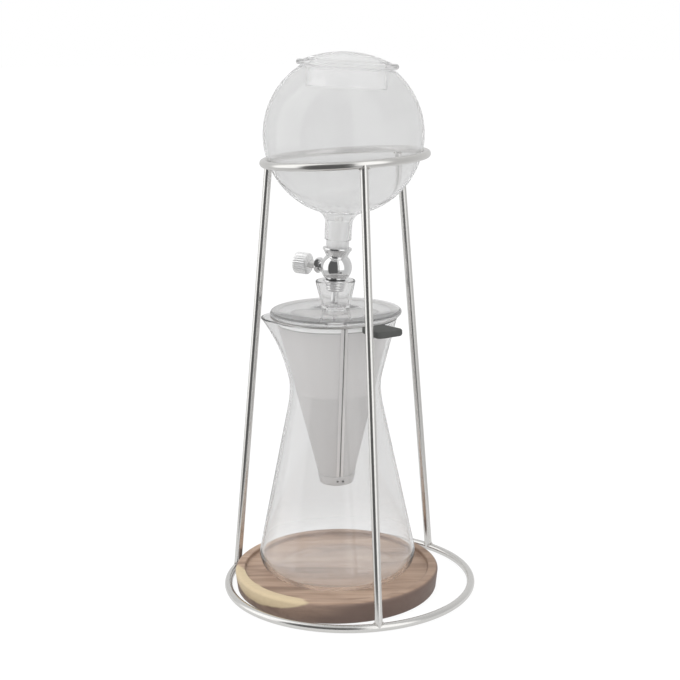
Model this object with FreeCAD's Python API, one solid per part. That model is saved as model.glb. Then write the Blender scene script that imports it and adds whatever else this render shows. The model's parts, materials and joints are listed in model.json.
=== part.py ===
import FreeCAD, Part

import math
import os

from FreeCAD import Placement, Rotation, Vector

os.makedirs("parts", exist_ok=True)

# A tabletop cold drip coffee tower. All sizes are in millimetres. The origin is the centre of the wire
# base ring on the table, +Z is up and the table is at z = 0. -Y is the front.

# --- Stand: two wire rings and three straight legs -------------------------------------------------
ROD_DIA = 6.0
BASE_RING_RADIUS = 96.0          # to the centre of the wire
TOP_RING_RADIUS = 60.9
TOP_RING_HEIGHT = 336.7          # at its centre
TOP_RING_TILT = 2.8              # degrees, the right side up
# Angles of the legs about Z, from the front towards +X.
LEG_ANGLES = {"leg_front": 12.6, "leg_right": 135.9, "leg_left": 252.0}

# --- Coaster: a turned wooden disc inside the base ring --------------------------------------------
COASTER_CENTRE = (-10.2, -3.5)
COASTER_RADIUS = 80.2            # at the top; the side tapers to the foot
COASTER_FOOT_RADIUS = 78.2
COASTER_THICKNESS = 17.0
COASTER_EDGE_RADIUS = 2.6
RECESS_RADIUS = 72.1
RECESS_DEPTH = 3.5
RECESS_CORNER_RADIUS = 2.0

# --- Carafe: blown glass, waisted, with a pulled spout ---------------------------------------------
CARAFE_CENTRE = (-9.4, -2.3)
GLASS_WALL = 2.0
REST_GAP = 0.2                   # under pieces that stand loosely on one another
CARAFE_RIM_HEIGHT = 217.3
CARAFE_RIM_RADIUS = 48.0
WAIST_HEIGHT = 163.0
WAIST_RADIUS = 35.1
WAIST_CURVE = 40.0
SHOULDER_HEIGHT = 155.0          # where the straight cone would meet the waist, before its curve
SHOULDER_CURVE = 72.0
HEEL_RADIUS = 64.6               # where the cone would meet the table side, before its curve
HEEL_CURVE = 15.0
PUNT_DEPTH = 2.0                 # how far the middle of the floor is pushed up
PUNT_RADIUS = 34.0
SPOUT_ANGLE = 180.0              # about Z, from +X
SPOUT_PULL = 8.4
SPOUT_HALF_WIDTH = 36.0          # degrees
SPOUT_START_HEIGHT = 179.0
SEAM_TOLERANCE = 0.001           # between the neck's near-circular edge and the body's circle

# --- Filter: steel mesh cone with a flat rim, a base cap and a handle ------------------------------
MESH_WALL = 0.7
CONE_TOP_RADIUS = 44.0
CONE_BASE_RADIUS = 12.4
CONE_BASE_HEIGHT = 86.0
RIM_INNER_RADIUS = 42.6
RIM_OUTER_RADIUS = 49.2
RIM_THICKNESS = 0.8
CAP_HEIGHT = 7.0
CAP_WALL = 0.6
SEAM_WIDTH = 5.0
SEAM_THICKNESS = 0.5
SEAM_ANGLE = 10.0                # about Z, from the front towards +X
HANDLE_ANGLE = 34.0
TONGUE_WIDTH = 11.0
TONGUE_THICKNESS = 0.8
TONGUE_DROP = 2.1
TONGUE_END = 69.0                # from the axis of the filter
GRIP_START = 49.6
GRIP_END = 74.6
GRIP_THICKNESS = 5.0
GRIP_ROOT_WIDTH = 18.5
GRIP_TIP_WIDTH = 24.0
GRIP_CORNER = 4.5
GRIP_EDGE_RADIUS = 1.6

# --- Lid of the carafe, with the drip funnel that stands on it -------------------------------------
LID_CENTRE = (-8.3, -2.3)
LID_RADIUS = 50.0
LID_THICKNESS = 4.0
LID_EDGE_RADIUS = 1.8
DRIP_HOLE_RADIUS = 6.3
FUNNEL_FOOT_RADIUS = 10.3
FUNNEL_TOP_RADIUS = 15.5
FUNNEL_HEIGHT = 22.4
FUNNEL_WALL = 1.8
FUNNEL_FLOOR = 3.0

# --- Globe: blown glass, resting in the top ring. Heights are from its centre ----------------------
GLOBE_RADIUS = 60.0
GLOBE_RING_GAP = 0.3
MOUTH_HEIGHT = 49.0
NECK_RADIUS = 10.2
NECK_END = -78.6
NECK_FILLET = 9.0
GLOBE_LID_RADIUS = 38.0
GLOBE_LID_SEAT = MOUTH_HEIGHT + REST_GAP
GLOBE_LID_RIM = 4.2
GLOBE_LID_APEX = 60.4
DOME_HALF_WIDTH = 33.0
SKIRT_RADIUS = 30.4
SKIRT_DEPTH = 15.0

# --- Valve below the neck. Heights are from the globe's centre, reaches from the valve's own axis --
STOPPER_RADIUS = 8.15
STOPPER_SHOULDER = 8.6           # radius of the part below the neck
STOPPER_TOP = -64.0
STOPPER_END = -84.4
TUBE_RADIUS = 3.0
TUBE_BORE = 1.8
TUBE_TOP = -60.0
COLLAR_RIM_RADIUS = 11.0
COLLAR_WAIST_RADIUS = 8.1
COLLAR_RIM_DEPTH = 1.6
BALL_RADIUS = 11.85
BALL_HEIGHT = -99.6
BALL_FLAT_RADIUS = 8.1
PASSAGE_RADIUS = 1.2
KNOB_DIRECTION = 155.0           # about Z, from +X
BOSS_RADIUS = 4.3
BOSS_REACH = 13.2
PACKING_BORE = 3.9
PACKING_START = 10.6
SEAT_RADIUS = 2.6
SEAT_BACK = -3.6
SEAT_FRONT = 3.6
NEEDLE_RADIUS = 1.9
NEEDLE_TIP_RADIUS = 0.6
NEEDLE_TIP_REACH = -1.8
NEEDLE_TAPER_END = 2.6
NEEDLE_END = 7.4
RUNNING_FIT = 0.1
NUT_FLATS = 10.6
NUT_LENGTH = 3.3
STEM_RADIUS = 2.9
STEM_INNER_END = 7.5
KNOB_START = 22.8
KNOB_LENGTH = 11.0
KNOB_RADIUS = 8.2
KNOB_CHAMFER = 0.9
KNOB_DISH_RADIUS = 5.6
KNOB_DISH_DEPTH = 1.2
WASHER_RADIUS = 7.3
WASHER_THICKNESS = 0.8
SPIGOT_FLANGE_RADIUS = 9.8
SPIGOT_FLANGE = 1.3
SPIGOT_RADIUS = 8.6              # under the flange; the stub tapers to its foot
SPIGOT_FOOT_RADIUS = 6.8
SPIGOT_LENGTH = 8.8
NOZZLE_RADIUS = 2.9
NOZZLE_TIP_RADIUS = 2.2
NOZZLE_END = -127.6

# --- Sizes that follow from those above ------------------------------------------------------------
ROD_RADIUS = ROD_DIA / 2
RECESS_FLOOR = COASTER_THICKNESS - RECESS_DEPTH
CARAFE_FLOOR = RECESS_FLOOR + REST_GAP
RIM_BOTTOM = CARAFE_RIM_HEIGHT + REST_GAP
RIM_TOP = RIM_BOTTOM + RIM_THICKNESS
LID_BOTTOM = RIM_TOP + REST_GAP
LID_TOP = LID_BOTTOM + LID_THICKNESS
GLOBE_CONTACT = GLOBE_RADIUS + ROD_RADIUS + GLOBE_RING_GAP
RING_PLACE = Placement(Vector(0, 0, TOP_RING_HEIGHT), Rotation(Vector(0, 1, 0), -TOP_RING_TILT))
GLOBE_RISE = math.sqrt(GLOBE_CONTACT ** 2 - TOP_RING_RADIUS ** 2)
GLOBE_CENTRE = RING_PLACE.multVec(Vector(0, 0, GLOBE_RISE))
BALL_FLAT = math.sqrt(BALL_RADIUS ** 2 - BALL_FLAT_RADIUS ** 2)
SPIGOT_TOP = BALL_HEIGHT - BALL_FLAT - WASHER_THICKNESS
SPIGOT_END = SPIGOT_TOP - SPIGOT_LENGTH

# The globe leans in its ring just enough to point its nozzle at the funnel of the carafe's lid.
NOZZLE_SHIFT = Vector(CARAFE_CENTRE[0] - GLOBE_CENTRE.x, CARAFE_CENTRE[1] - GLOBE_CENTRE.y, 0)
LEAN_ANGLE = math.degrees(math.asin(NOZZLE_SHIFT.Length / -NOZZLE_END))
GLOBE_PLACE = Placement(GLOBE_CENTRE, Rotation(Vector(NOZZLE_SHIFT.y, -NOZZLE_SHIFT.x, 0), LEAN_ANGLE))


# --- Tools for drawing ------------------------------------------------------------------------------
def rounded_outline(corners, closed=True):
    """A wire in the XZ plane through (x, z, radius) corners. A radius turns its corner into an arc."""
    points = [Vector(x, 0, z) for x, z, _ in corners]
    radii = [radius for _, _, radius in corners]
    count = len(points)
    edges = []
    last = None
    first = None
    for i, corner in enumerate(points):
        before = points[i - 1] - corner
        after = points[(i + 1) % count] - corner
        half = before.getAngle(after) / 2
        is_end = not closed and i in (0, count - 1)
        if radii[i] and not is_end:
            before.normalize()
            after.normalize()
            reach = radii[i] / math.tan(half)
            centre = corner + (before + after).normalize() * (radii[i] / math.sin(half))
            middle = centre + (corner - centre).normalize() * radii[i]
            arc_start = corner + before * reach
            arc_end = corner + after * reach
            if last:
                edges.append(Part.LineSegment(last, arc_start).toShape())
            edges.append(Part.Arc(arc_start, middle, arc_end).toShape())
            first = first or arc_start
            last = arc_end
        else:
            if last:
                edges.append(Part.LineSegment(last, corner).toShape())
            first = first or corner
            last = corner
    if closed:
        edges.append(Part.LineSegment(last, first).toShape())
    return Part.Wire(edges)


def turned(wire):
    """The solid that a closed half section in the XZ plane sweeps out about the Z axis."""
    return Part.Face(wire).revolve(Vector(0, 0, 0), Vector(0, 0, 1), 360)


def lathe(corners):
    """A turned piece from the (radius, height, corner radius) corners of its half section."""
    return turned(rounded_outline(corners))


def tube(outer, inner, bottom, top):
    """A plain tube about the Z axis."""
    wall = Part.makeCylinder(outer, top - bottom, Vector(0, 0, bottom))
    return wall.cut(Part.makeCylinder(inner, top - bottom, Vector(0, 0, bottom)))


def on_floor_plan(shape, centre):
    """A copy of a piece drawn about the Z axis, moved to a centre on the plan."""
    return shape.translated(Vector(centre[0], centre[1], 0))


def facing(angle):
    """The direction on the plan at an angle from the front towards +X."""
    return Vector(math.sin(math.radians(angle)), -math.cos(math.radians(angle)), 0)


def along_knob(shape):
    """A valve piece drawn along Z from the valve's middle, laid along the knob's axis."""
    to_x = Rotation(Vector(0, 1, 0), 90)
    turn = Rotation(Vector(0, 0, 1), KNOB_DIRECTION)
    placed = shape.copy()
    placed.Placement = Placement(Vector(0, 0, BALL_HEIGHT), turn.multiply(to_x)).multiply(shape.Placement)
    return placed


def on_globe(shape):
    """A copy of a piece drawn about the globe's centre, set upright or leaning as the globe is."""
    placed = shape.copy()
    placed.Placement = GLOBE_PLACE.multiply(shape.Placement)
    return placed


# --- Stand ------------------------------------------------------------------------------------------
def base_ring():
    return Part.makeTorus(BASE_RING_RADIUS, ROD_RADIUS, Vector(0, 0, ROD_RADIUS))


def top_ring():
    ring = Part.makeTorus(TOP_RING_RADIUS, ROD_RADIUS)
    ring.Placement = RING_PLACE
    return ring


def leg(angle):
    """A straight rod between the middles of both rings, its ends coped to the rings."""
    foot = facing(angle) * BASE_RING_RADIUS + Vector(0, 0, ROD_RADIUS)
    head = RING_PLACE.multVec(facing(angle) * TOP_RING_RADIUS)
    rod = Part.makeCylinder(ROD_RADIUS, foot.distanceToPoint(head), foot, head - foot)
    coped = rod.cut([base_ring(), top_ring()])
    return max(coped.Solids, key=lambda solid: solid.Volume)


# --- Coaster ----------------------------------------------------------------------------------------
def coaster():
    disc = lathe([
        (0, 0, 0),
        (COASTER_FOOT_RADIUS, 0, COASTER_EDGE_RADIUS),
        (COASTER_RADIUS, COASTER_THICKNESS, COASTER_EDGE_RADIUS),
        (RECESS_RADIUS, COASTER_THICKNESS, 1.0),
        (RECESS_RADIUS, RECESS_FLOOR, RECESS_CORNER_RADIUS),
        (0, RECESS_FLOOR, 0),
    ])
    return on_floor_plan(disc, COASTER_CENTRE)


# --- Carafe -----------------------------------------------------------------------------------------
def neck_radius(height):
    """The carafe's outer radius between its waist and its rim, away from the spout."""
    slope = (CARAFE_RIM_RADIUS - WAIST_RADIUS) / (CARAFE_RIM_HEIGHT - WAIST_HEIGHT)
    rise = height - WAIST_HEIGHT
    blend = WAIST_CURVE * slope
    if rise < blend:
        return WAIST_RADIUS + rise ** 2 / (2 * WAIST_CURVE)
    start = WAIST_RADIUS + blend ** 2 / (2 * WAIST_CURVE)
    steeper = (CARAFE_RIM_RADIUS - start) / (CARAFE_RIM_HEIGHT - WAIST_HEIGHT - blend)
    return start + (rise - blend) * steeper


def neck_section(height, inset):
    """A closed curve round the neck at a height, with the spout's bulge in it."""
    lift = max(0.0, (height - SPOUT_START_HEIGHT) / (CARAFE_RIM_HEIGHT - SPOUT_START_HEIGHT))
    points = []
    steps = 48
    for step in range(steps):
        angle = 360.0 * step / steps
        off = abs((angle - SPOUT_ANGLE + 180) % 360 - 180)
        bulge = math.cos(math.radians(min(off / SPOUT_HALF_WIDTH, 1) * 90)) ** 2
        radius = neck_radius(height) - inset + SPOUT_PULL * bulge * lift ** 2
        turn = math.radians(angle)
        points.append(Vector(radius * math.cos(turn), radius * math.sin(turn), height))
    curve = Part.BSplineCurve()
    curve.interpolate(points, PeriodicFlag=True)
    return Part.Wire(curve.toShape())


def neck_form(inset):
    """The carafe's neck as a full body, its surface set in from the outer wall."""
    steps = 7
    rise = CARAFE_RIM_HEIGHT - WAIST_HEIGHT
    heights = [WAIST_HEIGHT + rise * step / (steps - 1) for step in range(steps)]
    return Part.makeLoft([neck_section(height, inset) for height in heights], True)


def body_form(inset):
    """The carafe below its waist as a full body, its surface set in from the outer wall."""
    floor = CARAFE_FLOOR + inset
    lean = (HEEL_RADIUS - WAIST_RADIUS) / (SHOULDER_HEIGHT - CARAFE_FLOOR)
    across = inset * math.hypot(1, lean)
    heel = HEEL_RADIUS - across - lean * inset
    shoulder = SHOULDER_HEIGHT - (across - inset) / lean
    return lathe([
        (0, floor + PUNT_DEPTH, 0),
        (PUNT_RADIUS, floor, 60.0),
        (heel, floor, HEEL_CURVE - inset),
        (WAIST_RADIUS - inset, shoulder, SHOULDER_CURVE + inset),
        (WAIST_RADIUS - inset, WAIST_HEIGHT, 0),
        (0, WAIST_HEIGHT, 0),
    ])


def carafe():
    body = body_form(0).cut(body_form(GLASS_WALL))
    neck = neck_form(0).cut(neck_form(GLASS_WALL))
    return on_floor_plan(body.fuse([neck], SEAM_TOLERANCE), CARAFE_CENTRE)


# --- Filter -----------------------------------------------------------------------------------------
def cone_radius(height):
    """The filter's outer radius at a height."""
    share = (height - CONE_BASE_HEIGHT) / (RIM_BOTTOM - CONE_BASE_HEIGHT)
    return CONE_BASE_RADIUS + share * (CONE_TOP_RADIUS - CONE_BASE_RADIUS)


def filter_cone():
    wall = lathe([
        (CONE_BASE_RADIUS - MESH_WALL, CONE_BASE_HEIGHT, 0),
        (CONE_BASE_RADIUS, CONE_BASE_HEIGHT, 0),
        (CONE_TOP_RADIUS, RIM_BOTTOM, 0),
        (CONE_TOP_RADIUS - MESH_WALL, RIM_BOTTOM, 0),
    ])
    return on_floor_plan(wall, CARAFE_CENTRE)


def filter_rim():
    flange = lathe([
        (RIM_INNER_RADIUS, RIM_BOTTOM, 0),
        (RIM_OUTER_RADIUS, RIM_BOTTOM, 0),
        (RIM_OUTER_RADIUS, RIM_TOP, 0),
        (RIM_INNER_RADIUS, RIM_TOP, 0),
    ])
    return on_floor_plan(flange, CARAFE_CENTRE)


def filter_base_cap():
    """A shallow cup that closes the small end of the cone."""
    top = CONE_BASE_HEIGHT + CAP_HEIGHT
    bottom = CONE_BASE_HEIGHT - CAP_WALL
    cup = lathe([
        (0, bottom, 0),
        (CONE_BASE_RADIUS + CAP_WALL, bottom, 0.5),
        (cone_radius(top) + CAP_WALL, top, 0),
        (cone_radius(top), top, 0),
        (CONE_BASE_RADIUS, CONE_BASE_HEIGHT, 0),
        (0, CONE_BASE_HEIGHT, 0),
    ])
    return on_floor_plan(cup, CARAFE_CENTRE)


def filter_seam():
    """The lapped edge of the rolled sheet, a strip up the outside of the cone."""
    start = CONE_BASE_HEIGHT + CAP_HEIGHT
    strip = lathe([
        (cone_radius(start), start, 0),
        (cone_radius(start) + SEAM_THICKNESS, start, 0),
        (CONE_TOP_RADIUS + SEAM_THICKNESS, RIM_BOTTOM, 0),
        (CONE_TOP_RADIUS, RIM_BOTTOM, 0),
    ])
    reach = CONE_TOP_RADIUS + SEAM_THICKNESS + 1
    slab = Part.makeBox(SEAM_WIDTH, reach, RIM_BOTTOM, Vector(-SEAM_WIDTH / 2, -reach, 0))
    slab.rotate(Vector(0, 0, 0), Vector(0, 0, 1), SEAM_ANGLE)
    return on_floor_plan(strip.common(slab), CARAFE_CENTRE)


def handle_placed(shape):
    """A handle piece drawn along +X from the filter's axis, turned to the handle's side."""
    placed = shape.copy()
    placed.rotate(Vector(0, 0, 0), Vector(0, 0, 1), HANDLE_ANGLE - 90)
    return on_floor_plan(placed, CARAFE_CENTRE)


def tongue():
    """A pressed strip that leaves the rim level and steps down outside the glass."""
    low = RIM_BOTTOM - TONGUE_DROP
    step_end = GRIP_START + TONGUE_DROP
    outline = rounded_outline([
        (RIM_OUTER_RADIUS - 0.6, RIM_BOTTOM, 0),
        (GRIP_START, RIM_BOTTOM, 1.0),
        (step_end, low, 1.0),
        (TONGUE_END, low, 0),
        (TONGUE_END, low + TONGUE_THICKNESS, 0),
        (step_end + 0.4, low + TONGUE_THICKNESS, 1.8),
        (GRIP_START + 0.4, RIM_TOP, 1.8),
        (RIM_OUTER_RADIUS - 0.6, RIM_TOP, 0),
    ])
    strip = Part.Face(outline).extrude(Vector(0, TONGUE_WIDTH, 0))
    strip.translate(Vector(0, -TONGUE_WIDTH / 2, 0))
    return strip


def handle_bracket():
    rim_disc = Part.makeCylinder(RIM_OUTER_RADIUS, CARAFE_RIM_HEIGHT * 2)
    return handle_placed(tongue().cut(rim_disc))


def handle_grip():
    """A moulded paddle that widens outwards, with a pocket for the tongue."""
    root = GRIP_ROOT_WIDTH / 2
    tip = GRIP_TIP_WIDTH / 2
    plan = rounded_outline([
        (GRIP_START, -root, 1.0),
        (GRIP_END, -tip, GRIP_CORNER),
        (GRIP_END, tip, GRIP_CORNER),
        (GRIP_START, root, 1.0),
    ])
    paddle = Part.Face(plan).extrude(Vector(0, GRIP_THICKNESS, 0))
    paddle.rotate(Vector(0, 0, 0), Vector(1, 0, 0), 90)
    paddle = paddle.makeFillet(GRIP_EDGE_RADIUS, long_flat_edges(paddle))
    middle = RIM_BOTTOM - TONGUE_DROP + TONGUE_THICKNESS / 2
    paddle.translate(Vector(0, 0, middle - paddle.BoundBox.Center.z))
    return handle_placed(paddle.cut(tongue()))


def long_flat_edges(plate):
    """The edges round the top and bottom faces of a plate that lies level."""
    ends = (plate.BoundBox.ZMin, plate.BoundBox.ZMax)
    level = [edge for edge in plate.Edges if edge.BoundBox.ZLength < 0.01]
    return [edge for edge in level if min(abs(edge.BoundBox.Center.z - end) for end in ends) < 0.01]


# --- Lid and drip funnel ----------------------------------------------------------------------------
def carafe_lid():
    disc = lathe([
        (DRIP_HOLE_RADIUS, LID_BOTTOM, 0.6),
        (LID_RADIUS, LID_BOTTOM, LID_EDGE_RADIUS),
        (LID_RADIUS, LID_TOP, LID_EDGE_RADIUS),
        (DRIP_HOLE_RADIUS, LID_TOP, 0),
    ])
    return on_floor_plan(disc, LID_CENTRE)


def drip_funnel():
    top = LID_TOP + FUNNEL_HEIGHT
    floor = LID_TOP + FUNNEL_FLOOR
    cup = lathe([
        (DRIP_HOLE_RADIUS, LID_TOP, 0),
        (FUNNEL_FOOT_RADIUS, LID_TOP, 0.8),
        (FUNNEL_TOP_RADIUS, top, 0.8),
        (FUNNEL_TOP_RADIUS - FUNNEL_WALL, top, 0.8),
        (FUNNEL_FOOT_RADIUS - FUNNEL_WALL + 0.6, floor, 1.2),
        (DRIP_HOLE_RADIUS, floor, 0.6),
    ])
    return on_floor_plan(cup, LID_CENTRE)


# --- Globe and its lid ------------------------------------------------------------------------------
def globe_form(inset, top, bottom):
    """Globe and neck as a full body, set in from the outer surface, cut off at the top and bottom."""
    ball = GLOBE_RADIUS - inset
    bore = NECK_RADIUS - inset
    fillet = NECK_FILLET + inset
    centre = Vector(bore + fillet, 0, -math.sqrt((ball + fillet) ** 2 - (bore + fillet) ** 2))
    on_ball = centre * (ball / (ball + fillet))
    on_neck = Vector(bore, 0, centre.z)
    halfway = ((on_ball - centre).normalize() + Vector(-1, 0, 0)).normalize()
    crown = Vector(math.sqrt(ball ** 2 - top ** 2), 0, top)
    edges = [
        Part.LineSegment(Vector(0, 0, bottom), Vector(bore, 0, bottom)),
        Part.LineSegment(Vector(bore, 0, bottom), on_neck),
        Part.Arc(on_neck, centre + halfway * fillet, on_ball),
        Part.Arc(on_ball, Vector(ball, 0, 0), crown),
        Part.LineSegment(crown, Vector(0, 0, top)),
        Part.LineSegment(Vector(0, 0, top), Vector(0, 0, bottom)),
    ]
    return turned(Part.Wire([edge.toShape() for edge in edges]))


def globe():
    past = 5.0
    shell = globe_form(0, MOUTH_HEIGHT, NECK_END)
    return shell.cut(globe_form(GLASS_WALL, MOUTH_HEIGHT + past, NECK_END - past))


def globe_lid():
    """A domed lid with a rolled edge and a skirt that hangs in the mouth."""
    rim_top = GLOBE_LID_SEAT + GLOBE_LID_RIM
    rise = GLOBE_LID_APEX - rim_top
    outer_dome = (rise ** 2 + DOME_HALF_WIDTH ** 2) / (2 * rise)
    inner_dome = outer_dome - GLASS_WALL
    centre = GLOBE_LID_APEX - outer_dome
    skirt_bore = SKIRT_RADIUS - GLASS_WALL
    skirt_end = GLOBE_LID_SEAT - SKIRT_DEPTH
    edge_radius = GLOBE_LID_RIM / 2 - 0.05
    above = dome_arc(outer_dome, centre, DOME_HALF_WIDTH)
    below = dome_arc(inner_dome, centre, skirt_bore)
    edge = rounded_outline([
        (skirt_bore, below.EndPoint.z, 0),
        (skirt_bore, skirt_end, 0.9),
        (SKIRT_RADIUS, skirt_end, 0.9),
        (SKIRT_RADIUS, GLOBE_LID_SEAT, 0),
        (GLOBE_LID_RADIUS, GLOBE_LID_SEAT, edge_radius),
        (GLOBE_LID_RADIUS, rim_top, edge_radius),
        (DOME_HALF_WIDTH, rim_top, 0),
    ], closed=False)
    axis = Part.LineSegment(above.StartPoint, below.StartPoint)
    return turned(Part.Wire([axis.toShape(), below.toShape(), *edge.Edges, above.toShape()]))


def dome_arc(radius, centre, half_width):
    """The arc of a dome from its top on the axis out to its half width."""
    sweep = math.asin(half_width / radius)
    turns = (0, sweep / 2, sweep)
    return Part.Arc(*[Vector(radius * math.sin(turn), 0, centre + radius * math.cos(turn)) for turn in turns])


# --- Valve ------------------------------------------------------------------------------------------
def neck_stopper():
    """The plug in the neck, with a shoulder under the neck's end."""
    return lathe([
        (TUBE_RADIUS, STOPPER_TOP, 0),
        (STOPPER_RADIUS, STOPPER_TOP, 1.0),
        (STOPPER_RADIUS, NECK_END - REST_GAP, 0),
        (STOPPER_SHOULDER, NECK_END - REST_GAP, 0.2),
        (STOPPER_SHOULDER, STOPPER_END, 0),
        (TUBE_RADIUS, STOPPER_END, 0),
    ])


def inlet_tube():
    """The tube that carries the water down through the stopper into the valve."""
    return tube(TUBE_RADIUS, TUBE_BORE, BALL_HEIGHT + BALL_FLAT, TUBE_TOP)


def valve_collar():
    """A flared collar under the stopper, hollowed to a waist above the ball."""
    waist_height = BALL_HEIGHT + BALL_FLAT
    rim = STOPPER_END - COLLAR_RIM_DEPTH
    flare = Part.Arc(Vector(COLLAR_RIM_RADIUS, 0, rim),
                     Vector(COLLAR_WAIST_RADIUS + 1.2, 0, rim - 2.4),
                     Vector(COLLAR_WAIST_RADIUS, 0, waist_height))
    sides = rounded_outline([
        (COLLAR_WAIST_RADIUS, waist_height, 0),
        (TUBE_RADIUS, waist_height, 0),
        (TUBE_RADIUS, STOPPER_END, 0),
        (COLLAR_RIM_RADIUS, STOPPER_END, 0.6),
        (COLLAR_RIM_RADIUS, rim, 0),
    ], closed=False)
    return turned(Part.Wire([*sides.Edges, flare.toShape()]))


def valve_body():
    """A ball with flats above and below, a side boss for the stem and drilled passages."""
    ball = Part.makeSphere(BALL_RADIUS, Vector(0, 0, BALL_HEIGHT))
    slab = Part.makeCylinder(2 * BALL_RADIUS, 2 * BALL_FLAT, Vector(0, 0, BALL_HEIGHT - BALL_FLAT))
    boss = along_knob(Part.makeCylinder(BOSS_RADIUS, BOSS_REACH))
    passage = Part.makeCylinder(PASSAGE_RADIUS, 2 * BALL_FLAT, Vector(0, 0, BALL_HEIGHT - BALL_FLAT))
    seat_bore = Part.makeCylinder(SEAT_RADIUS, SEAT_FRONT - SEAT_BACK, Vector(0, 0, SEAT_BACK))
    stem_bore = Part.makeCylinder(STEM_RADIUS + RUNNING_FIT, BOSS_REACH, Vector(0, 0, SEAT_FRONT))
    packing_bore = Part.makeCylinder(PACKING_BORE, BOSS_REACH, Vector(0, 0, PACKING_START))
    cuts = [passage] + [along_knob(bore) for bore in (seat_bore, stem_bore, packing_bore)]
    return ball.common(slab).fuse(boss).cut(cuts).removeSplitter()


def needle_form(play):
    """The needle with its tapered tip, made larger all round by the play."""
    return turned(rounded_outline([
        (0, NEEDLE_TIP_REACH - play, 0),
        (NEEDLE_TIP_RADIUS + play, NEEDLE_TIP_REACH - play, 0),
        (NEEDLE_RADIUS + play, NEEDLE_TAPER_END, 0),
        (NEEDLE_RADIUS + play, NEEDLE_END, 0),
        (0, NEEDLE_END, 0),
    ]))


def valve_seat():
    """A cross-drilled plug; the needle closes the cross hole as it comes in."""
    plug = Part.makeCylinder(SEAT_RADIUS, SEAT_FRONT - SEAT_BACK, Vector(0, 0, SEAT_BACK))
    cross_hole = Part.makeCylinder(PASSAGE_RADIUS, 2 * BALL_RADIUS, Vector(-BALL_RADIUS, 0, 0),
                                   Vector(1, 0, 0))
    return along_knob(plug.cut([cross_hole, needle_form(RUNNING_FIT)]))


def needle():
    return along_knob(needle_form(0))


def stem_packing():
    """The ring that seals the stem, squeezed by the gland nut."""
    return along_knob(tube(PACKING_BORE, STEM_RADIUS + RUNNING_FIT, PACKING_START, BOSS_REACH))


def gland_nut():
    across_corners = NUT_FLATS / math.cos(math.radians(30))
    hexagon = Part.makePolygon([
        Vector(across_corners / 2, 0, 0),
        *[Vector(across_corners / 2 * math.cos(math.radians(60 * side)),
                 across_corners / 2 * math.sin(math.radians(60 * side)), 0) for side in range(1, 6)],
        Vector(across_corners / 2, 0, 0),
    ])
    prism = Part.Face(hexagon).extrude(Vector(0, 0, NUT_LENGTH))
    dome = Part.makeCone(across_corners / 2 + 0.6, across_corners / 2 - 0.6, NUT_LENGTH)
    bore = Part.makeCylinder(STEM_RADIUS + RUNNING_FIT, NUT_LENGTH)
    nut = prism.common(dome).cut(bore)
    nut.translate(Vector(0, 0, BOSS_REACH))
    return along_knob(nut)


def valve_stem():
    """The turned rod from the needle out through the gland nut into the knob."""
    return along_knob(Part.makeCylinder(STEM_RADIUS, KNOB_START + KNOB_LENGTH / 2 - STEM_INNER_END,
                                        Vector(0, 0, STEM_INNER_END)))


def knob():
    """A round knob with a dished face, bored for the stem from behind."""
    end = KNOB_START + KNOB_LENGTH
    bore_end = KNOB_START + KNOB_LENGTH / 2
    body = lathe([
        (STEM_RADIUS, KNOB_START, 0),
        (KNOB_RADIUS - KNOB_CHAMFER, KNOB_START, 0),
        (KNOB_RADIUS, KNOB_START + KNOB_CHAMFER, 0),
        (KNOB_RADIUS, end - KNOB_CHAMFER, 0),
        (KNOB_RADIUS - KNOB_CHAMFER, end, 0),
        (KNOB_DISH_RADIUS, end, 0),
        (KNOB_DISH_RADIUS - 0.8, end - KNOB_DISH_DEPTH, 0),
        (0, end - KNOB_DISH_DEPTH, 0),
        (0, bore_end, 0),
        (STEM_RADIUS, bore_end, 0),
    ])
    return along_knob(body)


def outlet_washer():
    return tube(WASHER_RADIUS, PASSAGE_RADIUS, SPIGOT_TOP, SPIGOT_TOP + WASHER_THICKNESS)


def outlet_spigot():
    """The flanged stub below the ball, bored for the nozzle."""
    under = SPIGOT_TOP - SPIGOT_FLANGE
    return lathe([
        (PASSAGE_RADIUS, SPIGOT_TOP, 0),
        (SPIGOT_FLANGE_RADIUS, SPIGOT_TOP, 0.4),
        (SPIGOT_FLANGE_RADIUS, under, 0.4),
        (SPIGOT_RADIUS, under, 0),
        (SPIGOT_FOOT_RADIUS, SPIGOT_END, 0.8),
        (PASSAGE_RADIUS, SPIGOT_END, 0),
    ])


def drip_nozzle():
    return lathe([
        (PASSAGE_RADIUS, SPIGOT_END, 0),
        (NOZZLE_RADIUS, SPIGOT_END, 0),
        (NOZZLE_RADIUS, NOZZLE_END + 2.0, 1.5),
        (NOZZLE_TIP_RADIUS, NOZZLE_END, 0),
        (PASSAGE_RADIUS, NOZZLE_END, 0),
    ])


# --- Assembly ---------------------------------------------------------------------------------------
STANDING_PIECES = (base_ring, top_ring, coaster, carafe, filter_cone, filter_rim, filter_base_cap,
                   filter_seam, handle_bracket, handle_grip, carafe_lid, drip_funnel)
GLOBE_PIECES = (globe, globe_lid, neck_stopper, inlet_tube, valve_collar, valve_body, valve_seat,
                needle, stem_packing, gland_nut, valve_stem, knob, outlet_washer, outlet_spigot,
                drip_nozzle)


def pieces():
    """Every piece of the tower by name, in place."""
    made = {make.__name__: make() for make in STANDING_PIECES}
    made.update({make.__name__: on_globe(make()) for make in GLOBE_PIECES})
    for name, angle in LEG_ANGLES.items():
        made[name] = leg(angle)
    return made


for name, shape in pieces().items():
    shape.exportStep(f"parts/{name}.step")
    print(name, len(shape.Solids), shape.isValid(), round(shape.Volume))
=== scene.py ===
import json
import math

import bmesh
import bpy
from bpy.props import FloatProperty, FloatVectorProperty, IntProperty, PointerProperty
from mathutils import Matrix, Vector


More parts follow.
